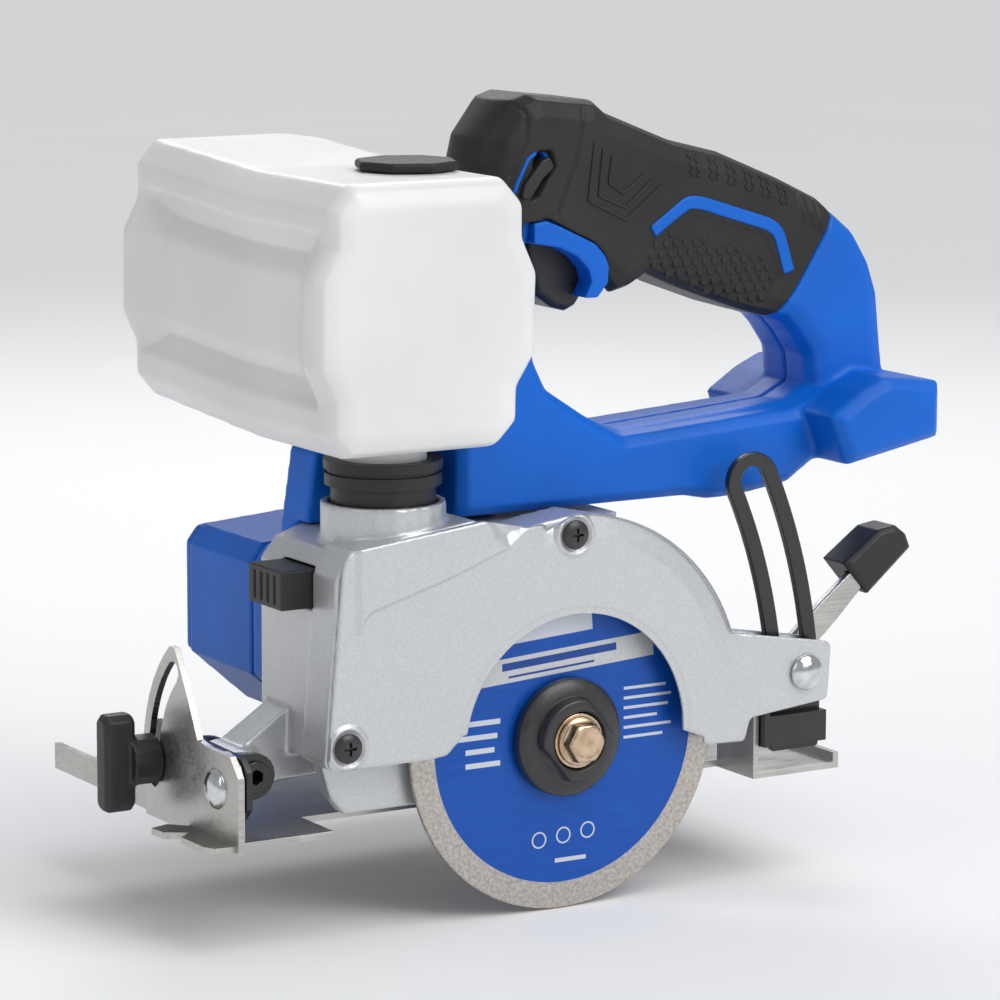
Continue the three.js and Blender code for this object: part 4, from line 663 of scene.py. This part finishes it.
BLUE_STRIPE = ((38.7, 167.6), (51.2, 176.1), (55.8, 175.6), (81.0, 167.7), (84.3, 165.1), (88.2, 152.8))
REAR_RIBS = (
    ((93.0, 176.6), (94.3, 168.6)),
    ((96.3, 175.4), (97.9, 167.2)),
    ((99.6, 173.6), (100.6, 165.6)),
)
LOCK_SLOT = (
    (-8.0, 184.6), (-4.7, 191.2), (-0.2, 193.8), (2.2, 192.8), (3.7, 188.7), (-0.3, 185.2), (-4.7, 180.0),
    (-9.0, 179.0),
)
LOCK_RIM = ((-9.4, 181.5), (-8.4, 185.0), (-5.1, 191.5), (-0.4, 194.3), (2.2, 193.3), (3.3, 190.6))
LOCK_LEVER = ((-8.2, 180.0, 1), (-7.0, 184.2, 1), (-1.2, 190.8, 1.2), (1.4, 191.9, 1), (3.0, 188.9, 1.2),
              (-0.9, 185.6, 1), (-5.2, 179.8, 1))


def prow(points):
    """Draws the corners of the handle's nose back, so that it is rounded seen from above."""
    x, y, z = points.T
    nose = smoothstep(12, -24, x) * smoothstep(150, 164, z)
    points[:, 0] += nose * 8.0 * (np.abs(y - HANDLE_Y) / 16.5) ** 2


def grip_relief(points):
    """The sunk palm field and lock slot, the ribs and the parting lines of the grip's sides."""
    side = np.sign(points[:, 1] - HANDLE_Y)
    flank = smoothstep(5.0, 10.0, np.abs(points[:, 1] - HANDLE_Y))
    out = -0.6 * smoothstep(0.0, 1.4, inside_distance(points, PALM_FIELD))
    out -= 3.2 * smoothstep(-0.3, 0.6, inside_distance(points, LOCK_SLOT))
    for rib in REAR_RIBS:
        out += 0.6 * (1 - smoothstep(0.7, 1.4, line_distance(points, rib)))
    for seam in NOSE_SEAMS:
        out -= 0.7 * (1 - smoothstep(0.1, 0.8, line_distance(points, seam)))
    points[:, 1] += side * flank * out
    prow(points)


def surface_of(piece):
    return BVHTree.FromObject(piece, bpy.context.evaluated_depsgraph_get())


def on_skin(skin, spot, side):
    """Where a sideways look at (x, z) meets the flank of a skin, or None."""
    hit, normal, _, _ = skin.ray_cast(P(spot[0], HANDLE_Y + side * 40, spot[1]), Vector((0, -side, 0)))
    return hit if hit is not None and normal.y * side > 0.6 else None


def smooth_path(line, step, rounds):
    path = []
    for start, end in zip(line, line[1:]):
        a, b = Vector(start), Vector(end)
        count = max(2, round((b - a).length / step))
        path += [a.lerp(b, i / count) for i in range(count)]
    path.append(Vector(line[-1]))
    for _ in range(rounds):
        path[1:-1] = [(path[i - 1] + path[i] * 2 + path[i + 1]) / 4 for i in range(1, len(path) - 1)]
    return path


BEAD = (
    (-0.5, -0.8), (-0.5, 0.5), (-0.4, 0.88), (-0.25, 1.0),
    (0.25, 1.0), (0.4, 0.88), (0.5, 0.5), (0.5, -0.8),
)


def ribbons(name, lines, width, height, skin, side, body, slot, step=0.8, rounds=6):
    """Raised beads that follow lines in the side view and lie on a skin, as one piece."""
    mesh = bmesh.new()
    outward = Vector((0, side, 0))
    for line in lines:
        path = smooth_path(line, step, rounds)
        rows = []
        for i, spot in enumerate(path):
            run = (path[min(i + 1, len(path) - 1)] - path[max(i - 1, 0)]).normalized()
            cross = Vector((-run.y, run.x))
            bases = [on_skin(skin, spot + cross * across * width, side) for across, _ in BEAD]
            if None in bases:
                continue
            rows.append([
                mesh.verts.new(base + outward * up * height * MM) for base, (_, up) in zip(bases, BEAD)
            ])
        if len(rows) < 2:
            continue
        for low, high in zip(rows, rows[1:]):
            for k in range(len(BEAD)):
                n = (k + 1) % len(BEAD)
                mesh.faces.new((low[k], low[n], high[n], high[k]))
        mesh.faces.new(rows[0][::-1])
        mesh.faces.new(rows[-1])
    piece = make(name, mesh, body, slot)
    piece.modifiers.new("Normals", "WEIGHTED_NORMAL")
    return piece


def dots(name, field, pitch, skin, side, body, slot):
    """Low six-sided buttons in staggered rows over a field in the side view."""
    xs, zs = [p[0] for p in field], [p[1] for p in field]
    mesh = bmesh.new()
    row = 0
    z = min(zs)
    while z < max(zs):
        x = min(xs) + (row % 2) * pitch / 2
        while x < max(xs):
            if inside_distance(np.array([[x, 0.0, z]]), field)[0] > 0.6:
                hit = on_skin(skin, (x, z), side)
                if hit is not None:
                    rings = []
                    for radius, rise in ((1.45, -0.5), (1.4, 0.1), (1.05, 0.38)):
                        rings.append([
                            mesh.verts.new(hit + Vector((u * MM, side * rise * MM, v * MM)))
                            for u, v in polygon(6, radius, math.pi / 6)
                        ])
                    for low, high in zip(rings, rings[1:]):
                        for k in range(6):
                            mesh.faces.new((low[k], low[(k + 1) % 6], high[(k + 1) % 6], high[k]))
                    mesh.faces.new(rings[0][::-1])
                    mesh.faces.new(rings[-1])
            x += pitch
        z += pitch * math.sqrt(3) / 2
        row += 1
    piece = make(name, mesh, body, slot)
    piece.modifiers.new("Normals", "WEIGHTED_NORMAL")
    return piece


def zigzag(top, bottom, teeth=8, inner=0.55, outer=1.75):
    """The two mirrored zigzags that make a chain of hexagons between two points."""
    a, b = Vector(top), Vector(bottom)
    across = Vector((1, 0))
    return [
        [a.lerp(b, k / teeth) + across * sign * (outer if k % 2 else inner) for k in range(teeth + 1)]
        for sign in (-1, 1)
    ]


grip = moulded("grip_overmould", 0.6, 4, grip_relief)
grip_skin = surface_of(grip)
chains = [line for ends in ZIGZAGS for line in zigzag(*ends)]
for side, label in ((-1, "near"), (1, "far")):
    ribbons("grip_stripe_" + label, [BLUE_STRIPE], 3.9, 0.5, grip_skin, side, "head", "blue_plastic")
    ribbons("grip_chevrons_" + label, CHEVRONS, 1.1, 0.45, grip_skin, side, "head", "grip_rubber", 0.6, 1)
    ribbons("grip_chains_" + label, chains, 0.7, 0.32, grip_skin, side, "head", "grip_rubber", 0.5, 0)
    ribbons("lock_slot_rim_" + label, [LOCK_RIM], 1.1, 0.5, grip_skin, side, "head", "blue_plastic", 0.6, 3)
    dots("grip_dots_" + label, DOT_FIELD, DOT_PITCH, grip_skin, side, "head", "grip_rubber")
prism(
    "lock_off_lever", rounded(LOCK_LEVER), side_plane(45.6), 34.0, "lock_off", "black_plastic", 0.5, 3,
    ("lock_off_button",),
)
moulded("housing_near", 0.75, 14, prow)
moulded("housing_far", 0.75, 14, prow)
moulded("trigger_surround", 0.45, 4)
moulded("trigger", 0.45, 10)

# ---------------------------------------------------------------- tank


def tank_relief(points):
    """The sunk panel in the broad side with its bevelled border."""
    x, y, z = points.T
    level = z - np.maximum(0, y - TANK_RISE_FROM_Y) * math.tan(TANK_RISE)
    across = np.minimum(y + 14, 97 - y)
    upright = np.minimum(level - 127, 177 - level)
    inset = np.minimum(across * 0.55, upright)
    broad = smoothstep(-80, -86, x)
    points[:, 0] += broad * 6.2 * np.clip(inset / 7.5, 0, 1)
    fill_box(points, "water_tank")


def fill_box(points, node):
    """Draws a smoothed skin back out to the box of the node it follows."""
    low, high = (np.array(corner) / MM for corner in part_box(node))
    low[1] -= FACE_Y / MM
    high[1] -= FACE_Y / MM
    least, most = points.min(axis=0), points.max(axis=0)
    points[:] = low + 0.05 + (points - least) / (most - least) * (high - low - 0.1)


TANK_RISE_FROM_Y = 34
TANK_RISE = math.radians(3.6)
moulded("water_tank", 1.0, 6, tank_relief)

# ---------------------------------------------------------------- castings and black mouldings


moulded("gear_case", 0.7, 4)
moulded("motor_housing", 0.9, 6)
moulded("motor_end_cap", 0.8, 4)
moulded("bevel_knob", 0.4, 5)
moulded("lever_pad", 0.4, 4)
moulded("tank_release_button", 0.4, 4)
moulded("depth_lever", 0.4, 3)

# ---------------------------------------------------------------- blade group


NEAR = (0, -1, 0)
SPINDLE = (0, 0, SPINDLE_Z)
RIM_START = 44.6
lathe(
    "blade_disc",
    ((10, -0.25), (RIM_START - 0.3, -0.25), (RIM_START + 0.2, -0.02), (BLADE_R - 0.35, -0.02),
     (BLADE_R, -0.35), (BLADE_R, -1.45), (BLADE_R - 0.35, -1.78), (RIM_START + 0.2, -1.78),
     (RIM_START - 0.3, -1.55), (10, -1.55)),
    SPINDLE, NEAR, "spindle_group", "blade_face", ("blade",), 240,
)
WRENCH_TURN = math.radians(40)
lathe(
    "clamp_flange",
    ((6.3, 0.35), (17.3, 0.35), (17.8, 0.8), (17.8, 2.9), (17.4, 3.5), (15.9, 4.6), (12.9, 5.0),
     (flatted(12.6, 10.2, WRENCH_TURN), 5.2), (flatted(12.4, 10.0, WRENCH_TURN), 8.3),
     (flatted(11.8, 9.5, WRENCH_TURN), 8.9), (9.4, 9.0), (8.8, 8.6), (8.7, 7.0), (6.3, 6.9)),
    SPINDLE, NEAR, "spindle_group", "blackened_steel", ("outer_flange",), 120,
)
lathe(
    "bolt_washer",
    ((6.2, 7.2), (8.0, 7.2), (8.3, 7.5), (8.3, 8.1), (8.0, 8.4), (6.2, 8.4)),
    SPINDLE, NEAR, "spindle_group", "yellow_zinc", ("blade_washer",), 96,
)
lathe(
    "clamp_bolt",
    ((0, -9.9), (4.0, -9.9), (4.0, 7.0), (6.9, 8.5), (7.3, 8.7), (7.3, 9.3), (6.9, 9.6),
     (hexagon(5.5), 9.7), (hexagon(5.5), 12.6), (hexagon(5.5, 5.7), 13.1), (hexagon(5.2, 5.2), 13.45),
     (4.2, 13.5), (3.9, 13.3),
     (0, 13.25)),
    SPINDLE, NEAR, "spindle_group", "yellow_zinc", ("blade_bolt",), 96,
)

# ---------------------------------------------------------------- guard


GUARD_FACE_Y = -8.0
GUARD_THICKNESS = 2.5
GUARD_BEVEL = 7.5  # width of the bevelled band round its back
GUARD_SCREWS = ((-77.5, 27.1), (-1.1, 82.6))
CREASE = ((-72.8, 60.0), (-72.2, 63.0), (-69.8, 65.7), (-44.0, 73.2), (-24.1, 80.3))
GUARD_FACET = ((-33.0, 92.0), (-16.0, 86.6), (-23.6, 80.9), (-28.2, 83.2))


def guard_rim(turn):
    """Radius of the guard's round back, which tightens towards the rear."""
    share = np.clip((88 - np.degrees(turn)) / 61, 0, 1)
    return 67.6 - 6.1 * share ** 1.4


def arc(radius, start, end, steps, centre=(0.0, SPINDLE_Z)):
    """Points on an arc, angles in degrees; the radius may depend on the angle."""
    points = []
    for k in range(steps + 1):
        turn = math.radians(start + (end - start) * k / steps)
        r = radius(turn) if callable(radius) else radius
        points.append((centre[0] + r * math.cos(turn), centre[1] + r * math.sin(turn)))
    return points


def guard_outline():
    front = rounded((
        (-50, 20.6, 0), (-84, 20.4, 4), (-78.2, 84.2, 7),
        (-32.4, 89.3, 1.2), (-16.6, 86.0, 2.5), (-9.4, 87.0, 3),
    ))
    back = rounded(((54.8, 48.7, 0), (55.5, 47.4, 2), (91.5, 41.3, 3), (90.3, 23.5, 2), (62, 20.6, 2),
                    (60.0, 13.6, 1.5), (44.8, 14.2, 2)))
    opening = arc(38, -2, 172, 60)
    heel = rounded(((-37.8, 27.4, 0), (-44.4, 21.2, 3), (-49, 20.7, 0)))
    return front + arc(guard_rim, 91, 29, 28) + back + opening + heel


def guard_relief(points):
    """The panel above the crease, the dark facet, the bevelled back and the screw counterbores."""
    x, y, z = points.T
    outer = smoothstep(GUARD_FACE_Y + 1.2, GUARD_FACE_Y + 0.3, y)
    above = line_distance(points, CREASE) * np.where(z > np.interp(x, *zip(*CREASE)), 1, -1)
    panel = smoothstep(-0.3, 0.9, above) * smoothstep(-75.5, -72.5, x) * smoothstep(-20, -27, x)
    sink = 0.85 - 0.85 * panel
    sink += 1.6 * smoothstep(-0.5, 3.5, inside_distance(points, GUARD_FACET))
    turn = np.arctan2(z - SPINDLE_Z, x)
    radial = np.hypot(x, z - SPINDLE_Z)
    bevel = np.clip((radial - guard_rim(turn) + GUARD_BEVEL) / GUARD_BEVEL, 0, 1)
    bevel = bevel * smoothstep(-20, -8, x) * smoothstep(62, 52, x)
    sink += 1.5 * bevel
    for u, v in GUARD_SCREWS:
        r = np.hypot(x - u, z - v)
        sink = np.where(r < 7.2, sink * smoothstep(6.0, 7.0, r), sink)
        sink += 0.9 * (1 - smoothstep(5.0, 5.6, r))
    lip = smoothstep(38.0, 38.6, radial) * (1 - smoothstep(39.6, 40.6, radial))
    sink += 0.35 * lip
    points[:, 1] += outer * sink


def guard():
    source = prism_mesh(guard_outline(), side_plane(GUARD_FACE_Y + GUARD_THICKNESS), GUARD_THICKNESS)
    piece = make("guard_cover", source, "head", "silver_paint", ("blade_guard",))
    remesh = piece.modifiers.new("Voxels", "REMESH")
    remesh.mode = "VOXEL"
    remesh.voxel_size = 0.5 * MM
    smooth = piece.modifiers.new("Rounding", "SMOOTH")
    smooth.iterations = 3
    bake(piece)
    points = to_saw(piece.data)
    guard_relief(points)
    from_saw(piece.data, points)
    piece.data.polygons.foreach_set("use_smooth", [True] * len(piece.data.polygons))
    paint(piece, "silver_paint")


def cross_screw(name, u, v, face_y, node):
    """A domed black screw with a cross recess."""
    dome = [(4.4 * math.cos(a), 0.3 + 1.3 * math.sin(a)) for a in np.linspace(0, 1.25, 8)]
    profile = [(0, -13), (2.0, -13), (2.0, -1.2), (4.4, -1.2)] + dome + [(0, 1.6)]
    screw = lathe_mesh(profile, (u, face_y, v), NEAR, 64)
    piece = make(name, screw, "head", "blackened_steel", (node,))
    for wide, tall in ((4.0, 0.8), (0.8, 4.0)):
        slot = [(u - wide / 2, v - tall / 2), (u + wide / 2, v - tall / 2), (u + wide / 2, v + tall / 2),
                (u - wide / 2, v + tall / 2)]
        cut(piece, prism_mesh(slot, side_plane(face_y - 0.2), 3.0))
    paint(piece, "blackened_steel")
    soften(piece, 0.12)


guard()
for (u, v), node in zip(GUARD_SCREWS, ("guard_screw_front", "guard_screw_top")):
    cross_screw(node + "_head", u, v, GUARD_FACE_Y + 0.6, node)


def dome_rivet(name, place, along, radius, length, height, node):
    """A bright domed head on a plain shank."""
    dome = [(radius * math.cos(a), height * math.sin(a)) for a in np.linspace(0, math.pi / 2 - 0.12, 10)]
    profile = [(0, -length), (radius * 0.5, -length), (radius * 0.5, -0.6), (radius * 0.92, -0.6)]
    lathe(name, profile + dome + [(0, height)], place, along, BODY_OF[node], "polished_steel", (node,), 72)


def middle(node):
    low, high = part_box(node)
    spot = (low + high) / 2 / MM
    return spot.x, spot.y - FACE_Y / MM, spot.z


HEAD_SEAT = 3.0  # from a rivet's outermost point back to the foot of its dome
DOME_HEIGHT = 2.9
_, rivet_y, rivet_z = middle("front_pivot_rivet")
rivet_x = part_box("front_pivot_rivet")[0].x / MM + HEAD_SEAT
rivet_at = (rivet_x, rivet_y, rivet_z)
dome_rivet("front_rivet_dome", rivet_at, (-1, 0, 0), 6.0, 8.0, DOME_HEIGHT, "front_pivot_rivet")
bolt_x, _, bolt_z = middle("depth_clamp_bolt")
bolt_y = (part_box("depth_clamp_bolt")[0].y - FACE_Y) / MM + HEAD_SEAT
bolt_at = (bolt_x, bolt_y, bolt_z)
dome_rivet("clamp_bolt_dome", bolt_at, NEAR, 5.6, 18.0, DOME_HEIGHT, "depth_clamp_bolt")

# ---------------------------------------------------------------- depth arc


ARC_CENTRE = (-97.0, 17.0)  # the depth pivot
ARC_R = 179.6
ARC_HALF_WIDTH = 9.2
ARC_THICK = 2.6
ARC_START_TURN = -2.0
ARC_SLOT_TURN = 5.05
ARC_TOP_TURN = 24.65
ARC_FOOT_Z = 7.5
ARC_INSET = 0.05  # keeps the smooth loop inside the faceted one
SLOT_HALF_WIDTH = 4.2


def band(centre, radius, half_width, start, end, steps=48):
    """The outline of a curved band with round ends, angles in degrees."""
    def cap(turn, away):
        at = math.radians(turn)
        mid = (centre[0] + radius * math.cos(at), centre[1] + radius * math.sin(at))
        return [
            (mid[0] + half_width * math.cos(at + away * math.pi * k / 12),
             mid[1] + half_width * math.sin(at + away * math.pi * k / 12))
            for k in range(1, 12)
        ]
    outside = arc(radius + half_width, start, end, steps, centre)
    inside = arc(radius - half_width, end, start, steps, centre)
    return outside + cap(end, 1) + inside + cap(start, -1)[::-1]


def depth_arc():
    """The black slotted loop, its lower end cut level and its edges rounded."""
    outline = band(
        ARC_CENTRE, ARC_R, ARC_HALF_WIDTH - ARC_INSET, ARC_START_TURN, ARC_TOP_TURN - ARC_INSET,
    )
    foot = []
    for u, v in outline:
        spot = (u, max(v, ARC_FOOT_Z))
        if not foot or math.dist(spot, foot[-1]) > ARC_INSET:
            foot.append(spot)
    piece = make(
        "depth_arc_loop", prism_mesh(foot, side_plane(ARC_THICK / 2), ARC_THICK), BODY_OF["depth_arc"],
        "black_steel", ("depth_arc",),
    )
    slot = band(ARC_CENTRE, ARC_R, SLOT_HALF_WIDTH, ARC_SLOT_TURN, ARC_TOP_TURN + 0.2)
    cut(piece, prism_mesh(slot, side_plane(ARC_THICK), ARC_THICK * 2))
    paint(piece, "black_steel")
    soften(piece, 0.5, 3)


depth_arc()


for node in NODES:
    if not NODES[node].hide_render:
        carried(node, 0.3)

# ---------------------------------------------------------------- studio


CAMERA_PLACE = Vector((-0.6842, -1.1563, 0.3102))
CAMERA_AZIMUTH = math.radians(-31.086)
CAMERA_ELEVATION = math.radians(9.59)
CAMERA_ROLL = math.radians(-0.146)
CAMERA_LENS = 160.35


def add_camera():
    camera = bpy.data.objects.new("Camera", bpy.data.cameras.new("Camera"))
    SCENE.collection.objects.link(camera)
    camera.data.lens = CAMERA_LENS
    camera.data.sensor_width = 36
    camera.data.clip_end = 20
    back = Vector((
        math.sin(CAMERA_AZIMUTH) * math.cos(CAMERA_ELEVATION),
        -math.cos(CAMERA_AZIMUTH) * math.cos(CAMERA_ELEVATION),
        math.sin(CAMERA_ELEVATION),
    ))
    right = Vector((math.cos(CAMERA_AZIMUTH), math.sin(CAMERA_AZIMUTH), 0))
    up = back.cross(right)
    turn = Matrix((right, up, back)).transposed() @ Matrix.Rotation(-CAMERA_ROLL, 3, "Z")
    camera.matrix_world = Matrix.Translation(CAMERA_PLACE) @ turn.to_4x4()
    SCENE.camera = camera


def add_floor():
    low = min(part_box(node)[0].z for node in NODES)
    mesh = bmesh.new()
    bmesh.ops.create_grid(mesh, x_segments=1, y_segments=1, size=16.0)
    data = bpy.data.meshes.new("floor")
    mesh.to_mesh(data)
    mesh.free()
    floor = bpy.data.objects.new("floor", data)
    floor.location = (0, 0, low - 0.0002)
    SCENE.collection.objects.link(floor)
    finish = Finish("studio_floor", (0.9, 0.9, 0.9), 0.7)
    finish.tint(finish.noise(3, 2), (0.88, 0.88, 0.88), (0.92, 0.92, 0.92))
    data.materials.append(finish.material)


def add_lamp(name, place, aim, size, power):
    data = bpy.data.lights.new(name, "AREA")
    data.shape = "RECTANGLE"
    data.size, data.size_y = size
    data.energy = power
    lamp = bpy.data.objects.new(name, data)
    lamp.location = place
    lamp.rotation_euler = (Vector(place) - Vector(aim)).to_track_quat("Z", "Y").to_euler()
    SCENE.collection.objects.link(lamp)


def add_world():
    world = bpy.data.worlds.new("studio")
    world.use_nodes = True
    background = world.node_tree.nodes["Background"]
    background.inputs["Color"].default_value = (0.95, 0.97, 1.0, 1.0)
    background.inputs["Strength"].default_value = 0.42
    SCENE.world = world


def add_sun(toward, softness, strength):
    """A wide soft lamp, the same over the whole floor."""
    data = bpy.data.lights.new("sky_panel", "SUN")
    data.angle = math.radians(softness)
    data.energy = strength
    lamp = bpy.data.objects.new("sky_panel", data)
    lamp.rotation_euler = Vector(toward).to_track_quat("Z", "Y").to_euler()
    SCENE.collection.objects.link(lamp)


add_camera()
add_floor()
add_world()
add_sun((0.25, -0.55, 1.0), 50, 1.25)
add_lamp("key", (0.5, -1.3, 0.8), (0, 0, 0.08), (0.9, 0.7), 6)
add_lamp("left_edge", (-1.1, -0.3, 0.8), (0, 0, 0.12), (0.3, 0.9), 1.2)
add_lamp("rear_strip", (0.4, 0.9, 0.8), (0, 0, 0.1), (0.9, 0.3), 4)
SCENE.view_settings.view_transform = "Standard"
